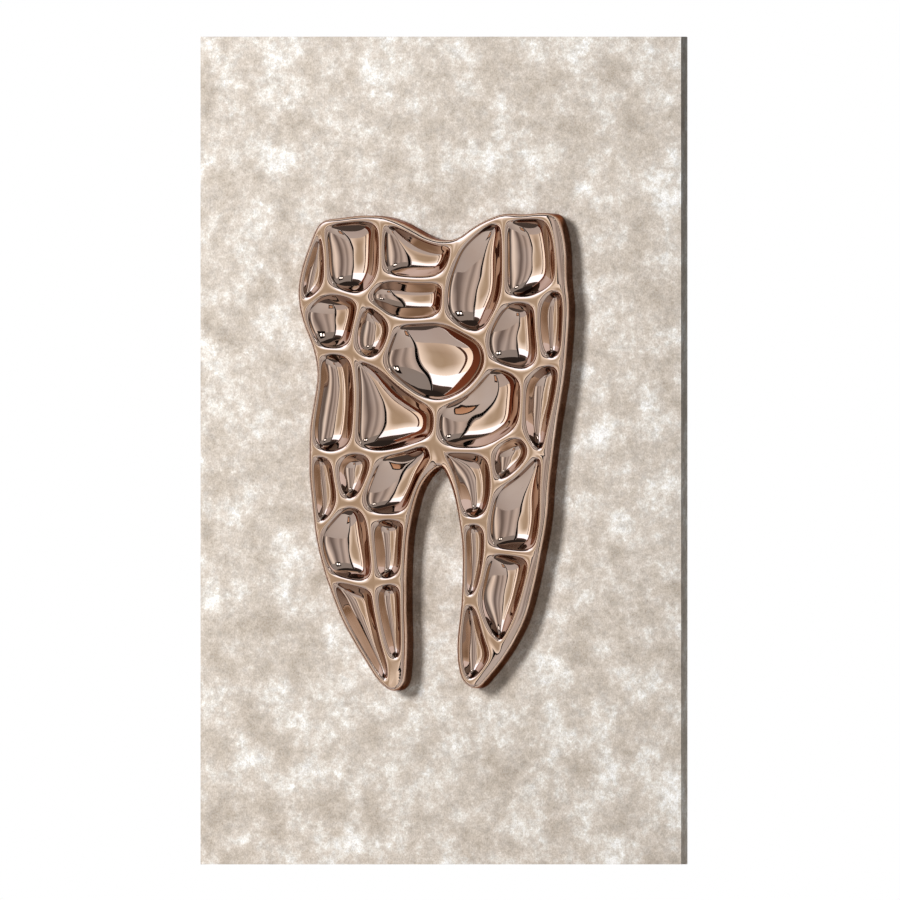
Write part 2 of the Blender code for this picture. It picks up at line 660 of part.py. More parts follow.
def cleat_mesh(name, points):
    """A cleat drawn from its section, along X."""
    curve = bpy.data.curves.new(name, "CURVE")
    curve.dimensions = "2D"
    curve.fill_mode = "BOTH"
    curve.extrude = CLEAT_LENGTH / 2
    spline = curve.splines.new("POLY")
    spline.points.add(len(points) - 1)
    for spot, (y, z) in zip(spline.points, points):
        spot.co = (y, z, 0, 1)
    spline.use_cyclic_u = True
    guide = bpy.data.objects.new(name, curve)
    cutters.objects.link(guide)
    bpy.context.view_layer.update()
    evaluated = guide.evaluated_get(bpy.context.evaluated_depsgraph_get())
    mesh = bpy.data.meshes.new_from_object(evaluated)
    bpy.data.objects.remove(guide)
    bm = bmesh.new()
    bm.from_mesh(mesh)
    bmesh.ops.remove_doubles(bm, verts=bm.verts, dist=0.00001)
    for vert in bm.verts:
        vert.co = (vert.co.z, vert.co.x, vert.co.y)
    bmesh.ops.recalc_face_normals(bm, faces=bm.faces)
    bm.to_mesh(mesh)
    bm.free()
    return mesh


def cleat_holes():
    return [(i - (CLEAT_HOLES - 1) / 2) * CLEAT_HOLE_PITCH for i in range(CLEAT_HOLES)]


def sunk_profile(play, length, above):
    """A countersunk screw or its hole, with the point upwards and the head's face at z = 0."""
    head, shank = WOOD_SCREW_HEAD_RADIUS + play, WOOD_SCREW_RADIUS + play
    side = [(0, length), (shank, length), (shank, WOOD_SCREW_CONE), (head, 0)]
    return side + ([(head, -above)] if above else []) + [(0, -above)]


def make_cleats():
    wall_cleat = add_part("wall_cleat", cleat_mesh("wall_cleat", cleat_profile()),
                          (0.78, 0.78, 0.79), 0.35, 1.0, parent=wall)
    turned = [(CLEAT_TURN_Y - y, CLEAT_TURN_Z - z) for y, z in cleat_profile()]
    panel_cleat = add_part("panel_cleat", cleat_mesh("panel_cleat", turned), (0.78, 0.78, 0.79), 0.35, 1.0)
    rail_top = CLEAT_TURN_Z - (CLEAT_STEP - CLEAT_FLANGE) + RAIL_ABOVE
    rail_height, rail_depth = rail_top + RAIL_BELOW, RAIL_BACK - FRAME_FRONT
    rail = add_part("hanging_rail", box_mesh("hanging_rail", clear_width() - 2 * GAP, rail_depth, rail_height),
                    (0.55, 0.38, 0.22), 0.6)
    rail.location = (0, (RAIL_BACK + FRAME_FRONT) / 2, rail_top - rail_height / 2)
    for index, x in enumerate(cleat_holes(), 1):
        wall_hole = add_cutter(f"wall_hole_{index}", bpy.data.meshes.new("wall_hole"))
        turn(wall_hole, sunk_profile(GAP, CLEAT_SHEET + 0.002, 0.002), 12)
        wall_hole.location = (x, -CLEAT_SHEET, -CLEAT_HOLE_DROP)
        wall_hole.rotation_euler = (math.radians(-90), 0, 0)
        cut(wall_cleat, wall_hole)
        screw_z = CLEAT_TURN_Z + CLEAT_HOLE_DROP
        panel_hole = add_cutter(f"panel_hole_{index}", bpy.data.meshes.new("panel_hole"))
        turn(panel_hole, sunk_profile(GAP, WOOD_SCREW_LENGTH + GAP, 0.002), 12)
        face_forward(panel_hole, x, CLEAT_TURN_Y + CLEAT_SHEET, screw_z)
        cut(panel_cleat, panel_hole)
        cut(rail, panel_hole)
        screw = add_part(f"cleat_screw_{index}", bpy.data.meshes.new("cleat_screw"), (0.6, 0.6, 0.6), 0.35, 1.0)
        turn(screw, sunk_profile(0, WOOD_SCREW_LENGTH, 0), 12)
        face_forward(screw, x, CLEAT_TURN_Y + CLEAT_SHEET, screw_z)
        smooth_round(screw)


def make_pads():
    for side, sign in (("left", -1), ("right", 1)):
        name = f"wall_pad_{side}"
        pad = add_part(name, bpy.data.meshes.new(name), (0.12, 0.12, 0.12), 0.95)
        turn(pad, [(0, PAD_THICKNESS), (PAD_RADIUS, PAD_THICKNESS), (PAD_RADIUS, 0), (0, 0)], 20)
        across = PANEL_WIDTH / 2 - EDGE_THICKNESS - FRAME_WIDTH / 2
        face_forward(pad, sign * across, 0, PANEL_TOP - PANEL_HEIGHT + PAD_ABOVE_CORNER)
        smooth_round(pad)


make_tooth()
make_fixings()
make_panel()
make_braces()
make_cleats()
make_pads()
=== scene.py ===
# Tooth wall sculpture: a mirror-polished rose-gold molar relief on a stone-faced panel,
# hung on a pair of aluminium cleats. Metres, +Z up, front towards -Y, wall at y = 0.
import math
import bmesh
import bpy
import numpy as np
from mathutils import Matrix, Vector


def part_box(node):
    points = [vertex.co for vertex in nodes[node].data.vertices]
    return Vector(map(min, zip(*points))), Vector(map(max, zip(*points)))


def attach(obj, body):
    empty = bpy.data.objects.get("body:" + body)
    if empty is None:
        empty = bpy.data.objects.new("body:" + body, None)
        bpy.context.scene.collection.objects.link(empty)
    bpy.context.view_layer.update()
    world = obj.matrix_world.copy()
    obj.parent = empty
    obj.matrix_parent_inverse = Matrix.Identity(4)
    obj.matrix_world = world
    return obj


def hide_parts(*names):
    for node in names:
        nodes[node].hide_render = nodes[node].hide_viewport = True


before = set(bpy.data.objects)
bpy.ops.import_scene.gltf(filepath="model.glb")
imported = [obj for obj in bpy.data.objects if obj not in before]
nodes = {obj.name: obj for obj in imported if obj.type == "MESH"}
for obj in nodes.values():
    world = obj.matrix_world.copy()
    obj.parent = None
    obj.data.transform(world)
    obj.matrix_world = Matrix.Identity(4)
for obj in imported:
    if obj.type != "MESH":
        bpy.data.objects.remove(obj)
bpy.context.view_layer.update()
scene = bpy.context.scene
print("frame loaded:", len(nodes), "nodes")


# camera: no perspective, level, turned 14.58 degrees to the right of the panel's normal
cameraView = {"turn": 14.58, "pixels": 900, "pixelMm": 1.20824, "distance": 3.0, "rightMm": 11.1, "upMm": 0.6}

boardLow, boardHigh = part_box("face_board")
panelFront = boardLow[1]
panelMiddle = (boardLow[2] + boardHigh[2]) / 2
turn = math.radians(cameraView["turn"])
towards = Vector((math.sin(turn), -math.cos(turn), 0))
rightWay = Vector((math.cos(turn), math.sin(turn), 0))
cameraData = bpy.data.cameras.new("photoCamera")
cameraData.type = "ORTHO"
cameraData.ortho_scale = cameraView["pixels"] * cameraView["pixelMm"] / 1000
camera = bpy.data.objects.new("photoCamera", cameraData)
scene.collection.objects.link(camera)
aim = Vector((0, panelFront, panelMiddle)) + rightWay * cameraView["rightMm"] / 1000
camera.location = aim + towards * cameraView["distance"] + Vector((0, 0, cameraView["upMm"] / 1000))
camera.rotation_euler = (math.radians(90), 0, turn)
scene.camera = camera
scene.view_settings.view_transform = "Standard"
print("camera set")


def linearColour(hexColour):
    # sRGB hex to the linear numbers that shaders take
    values = [int(hexColour[i:i + 2], 16) / 255 for i in (1, 3, 5)]
    return [v / 12.92 if v <= 0.04045 else ((v + 0.055) / 1.055) ** 2.4 for v in values] + [1.0]


def addNode(material, kind, inputs=None, stops=(), **settings):
    # one node with its settings, a ramp's stops, and its inputs: numbers, hex colours, other nodes' outputs,
    # or other nodes, which stand for their first output
    tree = material.node_tree
    node = tree.nodes.new(kind)
    for name, value in settings.items():
        setattr(node, name, value)
    for i, (place, colour) in enumerate(stops):
        element = node.color_ramp.elements[i] if i < 2 else node.color_ramp.elements.new(place)
        element.position = place
        element.color = linearColour(colour)
    for key, value in (inputs or {}).items():
        if isinstance(value, bpy.types.Node):
            value = value.outputs[0]
        if isinstance(value, bpy.types.NodeSocket):
            tree.links.new(value, node.inputs[key])
        else:
            node.inputs[key].default_value = linearColour(value) if isinstance(value, str) else value
    return node


def emptyMaterial(name):
    material = bpy.data.materials.new(name)
    material.use_nodes = True
    material.node_tree.nodes.clear()
    return material


# rose gold: a thin copper-gold coating on a hand-polished aluminium casting. It mirrors the room with slow
# waves left by the polishing mop, a faint haze in places, and a copper-brown cast where it is seen edge-on
roseGoldLook = {
    "tone": [(0.35, "#f2dfd2"), (0.7, "#edd6c5")], "edgeColour": "#8e5c46", "hazeMm": 34,
    "waveMm": 19, "waveHeightMm": 0.22, "polished": 0.022, "hazed": 0.055}


def makeRoseGold():
    material = emptyMaterial("polishedRoseGold")
    look = roseGoldLook
    spot = addNode(material, "ShaderNodeTexCoord").outputs["Object"]
    haze = addNode(material, "ShaderNodeTexNoise", {
        "Vector": spot, "Scale": 1000 / look["hazeMm"], "Detail": 5.0})
    low, high = look["tone"][0][0], look["tone"][1][0]
    roughness = addNode(material, "ShaderNodeMapRange", {
        "Value": haze, "From Min": low, "From Max": high,
        "To Min": look["polished"], "To Max": look["hazed"]})
    tone = addNode(material, "ShaderNodeValToRGB", {"Fac": haze}, look["tone"])
    waves = addNode(material, "ShaderNodeTexNoise", {
        "Vector": spot, "Scale": 1000 / look["waveMm"], "Detail": 0.0})
    relief = addNode(material, "ShaderNodeBump", {
        "Height": waves, "Strength": 1.0, "Distance": look["waveHeightMm"] / 1000})
    shader = addNode(material, "ShaderNodeBsdfPrincipled", {
        "Base Color": tone, "Metallic": 1.0, "Specular Tint": look["edgeColour"], "Roughness": roughness,
        "Normal": relief})
    addNode(material, "ShaderNodeOutputMaterial", {"Surface": shader})
    return material


roseGold = makeRoseGold()


# the tooth's outline in mm from its middle, clockwise from the crown's left corner
toothOutline = [
    (-140, 273), (-116, 278), (-89, 281), (-65, 280), (-45, 274), (-27, 265), (-10, 256), (10, 251),
    (31, 254), (46, 265), (64, 275), (87, 283), (109, 282), (131, 284), (149, 282), (157, 264),
    (161, 236), (162, 202), (165, 176), (164, 146), (161, 107), (157, 76), (152, 47), (147, 16),
    (144, -8), (140, -42), (137, -84), (129, -127), (122, -160), (111, -200), (97, -229), (84, -249),
    (70, -267), (52, -285), (38, -277), (32, -253), (32, -227), (35, -201), (37, -181), (38, -150),
    (38, -117), (34, -85), (29, -60), (22, -38), (9, -16), (-6, -24), (-16, -36), (-22, -48),
    (-26, -60), (-31, -80), (-35, -102), (-37, -127), (-38, -156), (-38, -195), (-37, -229), (-38, -258),
    (-41, -281), (-53, -288), (-69, -275), (-83, -254), (-98, -230), (-112, -205), (-122, -181),
    (-132, -154), (-137, -138), (-142, -119), (-146, -97), (-150, -60), (-153, -30), (-153, 1),
    (-152, 31), (-147, 61), (-143, 91), (-147, 119), (-153, 136), (-160, 153), (-165, 172),
    (-167, 194), (-163, 218), (-154, 245)]
# where the ribs meet or bend, in mm
ribKnots = [
    (-134, 242), (-133, 196), (-65, 210), (-65, 245), (16, 209), (24, 230), (-39, 207), (-10, 205),
    (-88, 183), (-112, 190), (-75, 199), (14, 159), (13, 184), (-19, 156), (-49, 156), (-70, 172),
    (-55, 132), (-68, 106), (-84, 108), (-101, 119), (-100, 141), (-94, 164), (-125, 121), (88, 184),
    (89, 248), (89, 216), (77, 164), (62, 136), (39, 143), (25, 153), (130, 183), (109, 182),
    (145, 196), (129, 152), (135, 107), (124, 96), (112, 92), (95, 98), (69, 105), (80, 104),
    (67, 120), (62, 91), (50, 77), (34, 64), (4, 55), (-16, 62), (-31, 72), (-50, 86),
    (4, 36), (2, 10), (-14, 10), (-31, 2), (-51, -2), (-72, -5), (-100, 3), (-97, 40),
    (-96, 76), (-122, -7), (-138, -4), (-77, -26), (-85, -42), (-93, -63), (-115, -64), (-120, -42),
    (-124, -22), (-130, -85), (-80, -80), (-77, -114), (-74, -135), (-74, -160), (-91, -163), (-111, -156),
    (-73, -185), (-67, -213), (-62, -236), (-54, -257), (109, 24), (111, 48), (112, 71), (126, -2),
    (70, 0), (82, 11), (35, 0), (16, 1), (110, -23), (94, -36), (76, -44), (67, -85),
    (67, -120), (62, -152), (53, -181), (60, -202), (67, -223)]
# the ribs round each pocket, clockwise, and how far its floor leans right and up
toothPockets = [
    ("o1 k1 k2 o77:o80", 0.2, 0), ("o1:o4 k4 k3 k11 k9 k10 k2 k1", 0.15, -0.1),
    ("o4:o9 k6 k5 k8 k7 k3 k4", 0.3, -0.2),
    ("o9:o12 k25 k26 k24 k27 k28 k29 k30 k12 k13 k5 k6", 0.35, -0.15),
    ("o12:o18 k33 k31 k32 k24 k26 k25", 0.2, -0.05), ("o18:o21 k35 k34 k31 k33", 0.2, 0),
    ("k3 k7 k8 k5 k13 k12 k14 k15 k16 k9 k11", 0.2, 0.05),
    ("o77 k2 k10 k9 k22 k21 k20 k23 o74:o76", 0.45, 0), ("k9 k16 k15 k17 k18 k19 k20 k21 k22", 0.35, 0),
    ("k15 k14 k12 k30 k29 k28 k41 k39 k42 k43 k44 k45 k46 k47 k48 k18 k17", 0, -0.05),
    ("k24 k32 k31 k34 k35 k36 k37 k38 k40 k39 k41 k28 k27", 0.4, 0.05),
    ("o74 k23 k20 k57 k56 k55 k58 k59 o70:o73", 0.2, 0),
    ("k20 k19 k18 k48 k47 k46 k45 k49 k50 k51 k52 k53 k54 k55 k56 k57", 0.15, -0.1),
    ("k39 k40 k38 k37 k79 k78 k77 k82 k81 k83 k84 k50 k49 k45 k44 k43 k42", 0.2, -0.3),
    ("k37 k36 k35 o21:o25 k80 k77 k78 k79", 0.3, 0), ("o70 k59 k58 k65 k64 k63 k66 o67:o69", 0.2, 0),
    ("k58 k55 k54 k60 k61 k62 k63 k64 k65", 0.2, 0),
    ("k54 k53 k52 k51 k50 o45:o50 k67 k62 k61 k60", 0.5, -0.3),
    ("k50 k84 k83 k81 k87 k88 o42:o45", 0.25, -0.25), ("k77 k80 k85 k86 k87 k81 k82", 0.25, -0.1),
    ("k80 o25:o28 k89 k88 k87 k86 k85", 0.35, -0.25),
    ("k63 k62 k67 k68 k69 k70 k71 k72 o64:o67 k66", 0.3, -0.2), ("k67 o50:o53 k70 k69 k68", 0.1, 0),
    ("o64 k72 k71 k70 k73 k74 k75 k76 o58:o63", 0.15, 0.1), ("k70 o53:o56 k76 k75 k74 k73", 0.2, 0),
    ("o42 k88 k89 k90 k91 o39:o41", 0.2, 0), ("k89 o28:o32 k93 k92 k91 k90", 0.25, -0.1),
    ("k91 k92 k93 o32:o39", 0.2, 0), ("k76 o56:o58", 0, 0)]
# ribs that are wider than the rest on the pocket's side, in mm
widerRibs = {
    "o9 o10": 5, "o10 o11": 2, "k6 o9": 2.5, "o15 o16": 6, "o16 o17": 6, "o17 o18": 6,
    "o23 o24": 2.5, "o24 o25": 5, "o25 o26": 5, "o26 o27": 2, "o28 o29": 4, "o29 o30": 5.5,
    "o30 o31": 6, "o31 o32": 6, "o32 o33": 6, "o33 o34": 4, "k93 o32": 5, "o43 o44": 2,
    "o44 o45": 5, "k50 o45": 7, "k50 k84": 1, "o45 o46": 7, "o46 o47": 2.5}
# the tooth's sections in mm. A rib's crown and the outer edge are steps away from the rib's middle line, each
# with its drop, or with its share of the tooth's depth. A pocket's wall falls along a power curve
toothShape = {
    "depth": 38.0, "pocketDepth": 20.0, "narrowDepth": 1.7,     # per mm of a narrow pocket's reach
    "facet": 5.4, "rimEasing": 22, "crestDrop": 1.0, "crestDropShare": 0.28,
    "fullReach": 0.9, "reachStep": 0.12, "spareReach": 1.08, "leastReach": 3.6, "rimParts": 6,
    "wallCurve": 1.4, "wallSteps": 8, "floorShares": (0.68, 0.38),
    "settling": 10, "settlingSteps": 3, "longestStep": 2, "foldArea": 0.3, "alike": 0.3,
    "ribCrown": [(1.4, 0.17), (2.9, 0.72), (4.3, 2.0), (5.5, 4.6)],
    "outer": [(1.3, 0.035), (2.3, 0.10), (2.9, 0.20), (3.0, 0.36), (3.0, 0.66), (3.0, 1.0)],
    "holePlay": 0.3, "holeEnd": 0.6, "holeSides": 32, "smoothBelow": 60,
}


def knotPoint(name):
    table = toothOutline if name[0] == "o" else ribKnots
    return Vector(table[int(name[1:]) - 1])


def pocketNames(text):
    names = []
    for word in text.split():
        first, *last = word.split(":")
        if last:
            names += [f"o{i}" for i in range(int(first[1:]), int(last[0][1:]) + 1)]
        else:
            names.append(first)
    return names


def extraWidth(a, b):
    return widerRibs.get(f"{a} {b}", widerRibs.get(f"{b} {a}", 0))


def meeting(point, along, other, otherAlong):
    # where two lines cross, or halfway if they run alike
    turning = along.cross(otherAlong)
    if abs(turning) < toothShape["alike"]:
        return (point + other) / 2
    return point + along * ((other - point).cross(otherAlong) / turning)


def movedCorners(names, distance, widened=True):
    # the loop's corners after each rib has moved inwards by a distance
    count = len(names)
    starts = [knotPoint(name) for name in names]
    lines = []
    for i, name in enumerate(names):
        following = (i + 1) % count
        along = (starts[following] - starts[i]).normalized()
        inward = Vector((along.y, -along.x))
        move = distance + (extraWidth(name, names[following]) if widened else 0)
        lines.append((inward * move, along))
    corners = []
    for i, start in enumerate(starts):
        (moveBefore, before), (moveAfter, after) = lines[i - 1], lines[i]
        corners.append(meeting(start + moveBefore, before, start + moveAfter, after))
    return corners


def facetCount(a, b):
    return max(1, round((knotPoint(a) - knotPoint(b)).length / toothShape["facet"]))


def outlineBulge(a, b, share):
    # how far the outline's smooth curve stands off the straight line between two of its knots
    if a[0] != "o" or b[0] != "o":
        return Vector((0, 0))
    total = len(toothOutline)
    first, second = int(a[1:]), int(b[1:])
    if (second - first) % total != 1:
        return Vector((0, 0))
    numbers = (first - 1, first, second, second + 1)
    before, start, end, after = (Vector(toothOutline[(number - 1) % total]) for number in numbers)
    bendIn = (end - before) / 2 - (end - start)
    bendOut = (after - start) / 2 - (end - start)
    return share * (1 - share) * ((1 - share) * bendIn - share * bendOut)


def dividedLoop(names, corners):
    points = []
    for i, name in enumerate(names):
        following = names[(i + 1) % len(names)]
        nextCorner = corners[(i + 1) % len(names)]
        count = facetCount(name, following)
        for k in range(count):
            points.append(corners[i].lerp(nextCorner, k / count) + outlineBulge(name, following, k / count))
    return points


def easedLoop(points, passes, weight=4):
    # each point moves towards its two neighbours, less where its own weight is greater
    for _ in range(passes):
        points = (np.roll(points, 1, axis=0) + weight * points + np.roll(points, -1, axis=0)) / (weight + 2)
    return points


def ribLoop(names, distance):
    # a loop round a pocket at a distance from its ribs' middle lines, rounder further out
    passes = round(toothShape["rimEasing"] * distance / toothShape["ribCrown"][-1][0])
    return easedLoop(np.array(dividedLoop(names, movedCorners(names, distance))), passes)


def rimLengths(rim, lean):
    # the rim in short lengths: their middles and their weights, greater where the pocket leans away
    parts = toothShape["rimParts"]
    along = np.roll(rim, -1, axis=0) - rim
    shares = (np.arange(parts) + 0.5) / parts
    middles = (rim[:, None, :] + along[:, None, :] * shares[None, :, None]).reshape(-1, 2)
    lengths = np.repeat(np.linalg.norm(along, axis=1), parts) / parts
    inward = rim.mean(axis=0) - middles
    inward = inward / np.linalg.norm(inward, axis=1)[:, None]
    return middles, lengths * (1 + inward @ lean) ** 2


def wallDistance(places, rimParts):
    # a smooth distance from the rim, from the inverse cubes of the ways to its parts, and its gradient
    middles, weight = rimParts
    away = places[:, None, :] - middles[None, :, :]
    squared = (away ** 2).sum(axis=2)
    total = 0.5 * (weight * squared ** -1.5).sum(axis=1)
    slope = -1.5 * (weight[None, :, None] * away * squared[:, :, None] ** -2.5).sum(axis=1)
    return total ** -0.5, -0.5 * total[:, None] ** -1.5 * slope


def wallLoop(places, distance, rimParts):
    # the loop on a pocket's wall that keeps one distance from the rim
    for _ in range(toothShape["settling"]):
        places = easedLoop(places, 1, 2)
        for _ in range(toothShape["settlingSteps"]):
            found, gradient = wallDistance(places, rimParts)
            move = gradient * ((distance - found) / (gradient ** 2).sum(axis=1))[:, None]
            length = np.linalg.norm(move, axis=1)[:, None]
            places = places + move * np.minimum(1, toothShape["longestStep"] / np.maximum(length, 1e-9))
    return places


def turnedArea(a, b, c):
    # twice the area of each triangle, positive where it lies turned over
    return (b[:, 0] - a[:, 0]) * (c[:, 1] - a[:, 1]) - (b[:, 1] - a[:, 1]) * (c[:, 0] - a[:, 0])


def areFolded(loops):
    # whether the band between two of these clockwise loops lies back over itself
    for outer, inner in zip(loops, loops[1:]):
        outerNext, innerNext = np.roll(outer, -1, axis=0), np.roll(inner, -1, axis=0)
        areas = [turnedArea(outer, outerNext, inner), turnedArea(outer, outerNext, innerNext),
                 turnedArea(outer, innerNext, inner), turnedArea(outerNext, innerNext, inner)]
        if np.max(areas) > toothShape["foldArea"]:
            return True
    return False


def wallLoops(rim, rimParts, width):
    # a pocket's wall from its rim to its floor, and one loop beyond it
    steps = toothShape["wallSteps"]
    along = np.roll(rim, -1, axis=0) - np.roll(rim, 1, axis=0)
    inward = np.stack([along[:, 1], -along[:, 0]], axis=1) / np.linalg.norm(along, axis=1)[:, None]
    places = rim + inward * width / (2 * steps)
    loops = []
    for share in [step / steps for step in range(1, steps + 1)] + [toothShape["spareReach"]]:
        places = wallLoop(places, share * width, rimParts)
        loops.append(places)
    return loops


def pocketReach(rim, rimParts):
    # the greatest distance from the rim found on the lines from the rim to the pocket's middle
    middle = rim.mean(axis=0)
    tries = [rim + (middle - rim) * share for share in np.linspace(0.3, 1, 15)]
    return max(wallDistance(places, rimParts)[0].max() for places in tries)


def softLeast(a, b):
    # the smaller of the two, eased where they are alike
    return (a ** -4 + b ** -4) ** -0.25


def addLoop(cage, points, drops, toothFront):
    return [cage.verts.new((x / 1000, toothFront + drop / 1000, panelMiddle + z / 1000))
            for (x, z), drop in zip(points, drops)]


def joinLoops(cage, outer, inner):
    for i in range(len(outer)):
        following = (i + 1) % len(outer)
        cage.faces.new((outer[i], inner[i], inner[following], outer[following]))


def crestDrop(name):
    # the outer ribs' middle lines lie lower, more so where the rib is wide
    if name[0] != "o":
        return 0
    total = len(toothOutline)
    number = int(name[1:])
    before = extraWidth(f"o{(number - 2) % total + 1}", name)
    after = extraWidth(name, f"o{number % total + 1}")
    return toothShape["crestDrop"] + toothShape["crestDropShare"] * (before + after) / 2


def crestLoop(cage, names, made, toothFront):
    # points on the ribs' middle lines, shared by the pockets on both sides
    ring = []
    for i, name in enumerate(names):
        following = names[(i + 1) % len(names)]
        count = facetCount(name, following)
        for k in range(count):
            if k == 0:
                key = name
            else:
                key = (name, following, k) if name < following else (following, name, count - k)
            if key not in made:
                place = knotPoint(name).lerp(knotPoint(following), k / count)
                place += outlineBulge(name, following, k / count)
                drop = crestDrop(name) + (crestDrop(following) - crestDrop(name)) * k / count
                made[key] = addLoop(cage, [place], [drop], toothFront)[0]
            ring.append(made[key])
    return ring


def addPocket(cage, made, text, lean, toothFront):
    # one pocket: half of each rib round it, its wall and its floor
    names = pocketNames(text)
    outer = crestLoop(cage, names, made, toothFront)
    rim = ribLoop(names, toothShape["ribCrown"][-1][0])
    rimParts = rimLengths(rim, lean)
    reach = pocketReach(rim, rimParts)
    if reach < toothShape["leastReach"]:
        cage.faces.new(list(reversed(outer)))
        return
    rimDrop = toothShape["ribCrown"][-1][1]
    depth = softLeast(toothShape["pocketDepth"], toothShape["narrowDepth"] * reach) - rimDrop
    rings = [(ribLoop(names, out), drop) for out, drop in toothShape["ribCrown"]]
    reachShare = toothShape["fullReach"]
    loops = wallLoops(rim, rimParts, reachShare * reach)
    while areFolded(loops) and reachShare > toothShape["reachStep"]:
        reachShare -= toothShape["reachStep"]
        loops = wallLoops(rim, rimParts, reachShare * reach)
    loops = loops[:toothShape["wallSteps"]]
    middle = loops[-1].mean(axis=0)
    loops += [middle + (loops[-1] - middle) * share for share in toothShape["floorShares"]]
    for points, drop in rings:
        inner = addLoop(cage, points, [drop] * len(points), toothFront)
        joinLoops(cage, outer, inner)
        outer = inner
    for places in loops:
        part = np.minimum(wallDistance(places, rimParts)[0] / reach, 1)
        drops = rimDrop + depth * (1 - (1 - part) ** toothShape["wallCurve"])
        inner = addLoop(cage, places, drops, toothFront)
        joinLoops(cage, outer, inner)
        outer = inner
    cage.faces.new(list(reversed(outer)))


def closeBack(back):
    # the flat back, with a blind hole round each brass insert
    play, end = toothShape["holePlay"] / 1000, toothShape["holeEnd"] / 1000
    for i in range(1, 7):
        low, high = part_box(f"insert_{i}")
        bpy.ops.mesh.primitive_circle_add(
            vertices=toothShape["holeSides"], radius=(high.x - low.x) / 2 + play,
            location=((low.x + high.x) / 2, back, (low.z + high.z) / 2), rotation=(math.radians(90), 0, 0))
    bpy.ops.mesh.select_all(action="DESELECT")
    bpy.ops.mesh.select_mode(type="EDGE")
    bpy.ops.mesh.select_non_manifold()
    bpy.ops.mesh.fill(use_beauty=False)
    bpy.ops.mesh.select_all(action="DESELECT")
    bpy.ops.mesh.select_non_manifold()
    bpy.ops.mesh.extrude_edges_move(TRANSFORM_OT_translate={"value": (0, low.y - end - back, 0)})
    bpy.ops.mesh.edge_face_add()


def makeTooth():
    low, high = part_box("tooth_casting")
    toothFront = low[1]
    cage = bmesh.new()
    made = {}
    for text, right, up in toothPockets:
        addPocket(cage, made, text, np.array([right, up]), toothFront)
    outlineNames = [f"o{i + 1}" for i in range(len(toothOutline))]
    inner = crestLoop(cage, outlineNames, made, toothFront)
    crestDrops = [(vertex.co.y - toothFront) * 1000 for vertex in inner]
    for out, share in toothShape["outer"]:
        points = np.array(dividedLoop(outlineNames, movedCorners(outlineNames, -out, False)))
        drops = [drop + share * (toothShape["depth"] - drop) for drop in crestDrops]
        outer = addLoop(cage, easedLoop(points, round(2 * out / 3)), drops, toothFront)
        joinLoops(cage, outer, inner)
        inner = outer
    bmesh.ops.recalc_face_normals(cage, faces=cage.faces)
    mesh = bpy.data.meshes.new("toothRelief")
    cage.to_mesh(mesh)
    cage.free()
    tooth = bpy.data.objects.new("toothRelief", mesh)
    scene.collection.objects.link(tooth)
    bpy.ops.object.select_all(action="DESELECT")
    tooth.select_set(True)
    bpy.context.view_layer.objects.active = tooth
    smoother = tooth.modifiers.new("smoother", "SUBSURF")
    smoother.levels = 1
    smoother.render_levels = 1
    bpy.ops.object.modifier_apply(modifier="smoother")
    bpy.ops.object.mode_set(mode="EDIT")
    closeBack(high.y)
    bpy.ops.mesh.select_all(action="SELECT")
    bpy.ops.mesh.normals_make_consistent(inside=False)
    bpy.ops.object.mode_set(mode="OBJECT")
    bpy.ops.object.shade_smooth_by_angle(angle=math.radians(toothShape["smoothBelow"]))
    tooth.data.materials.append(roseGold)
    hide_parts("tooth_casting")
    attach(tooth, "sculpture")
    tooth.data.calc_loop_triangles()
    print("tooth made:", len(tooth.data.loop_triangles), "triangles")


makeTooth()


# pale stone: a thin mineral slab, honed. It shows white blooms, grey-beige mottles, small pits and a
# fine upright grain, and no gloss
stoneLook = {
    "clouds": [(0.38, "#bbb0a4"), (0.45, "#cdc3b8"), (0.505, "#dad1c8"), (0.56, "#ebe7e1"),
               (0.615, "#ffffff")],
    "cloudMm": 44, "fleckMm": 6, "fleckShare": 0.24,
    "mottleMm": 13, "mottleSpan": (0.46, 0.66), "mottleColour": "#a09a95", "mottleShare": 0.45,
    "grainMm": (1.9, 2.5), "grain": [(0.32, "#dbd6d0"), (0.6, "#ffffff")],
    "pitMm": 2.4, "pitReach": 0.35, "reliefMm": 0.4, "roughness": 0.82, "shine": 0.2,
}


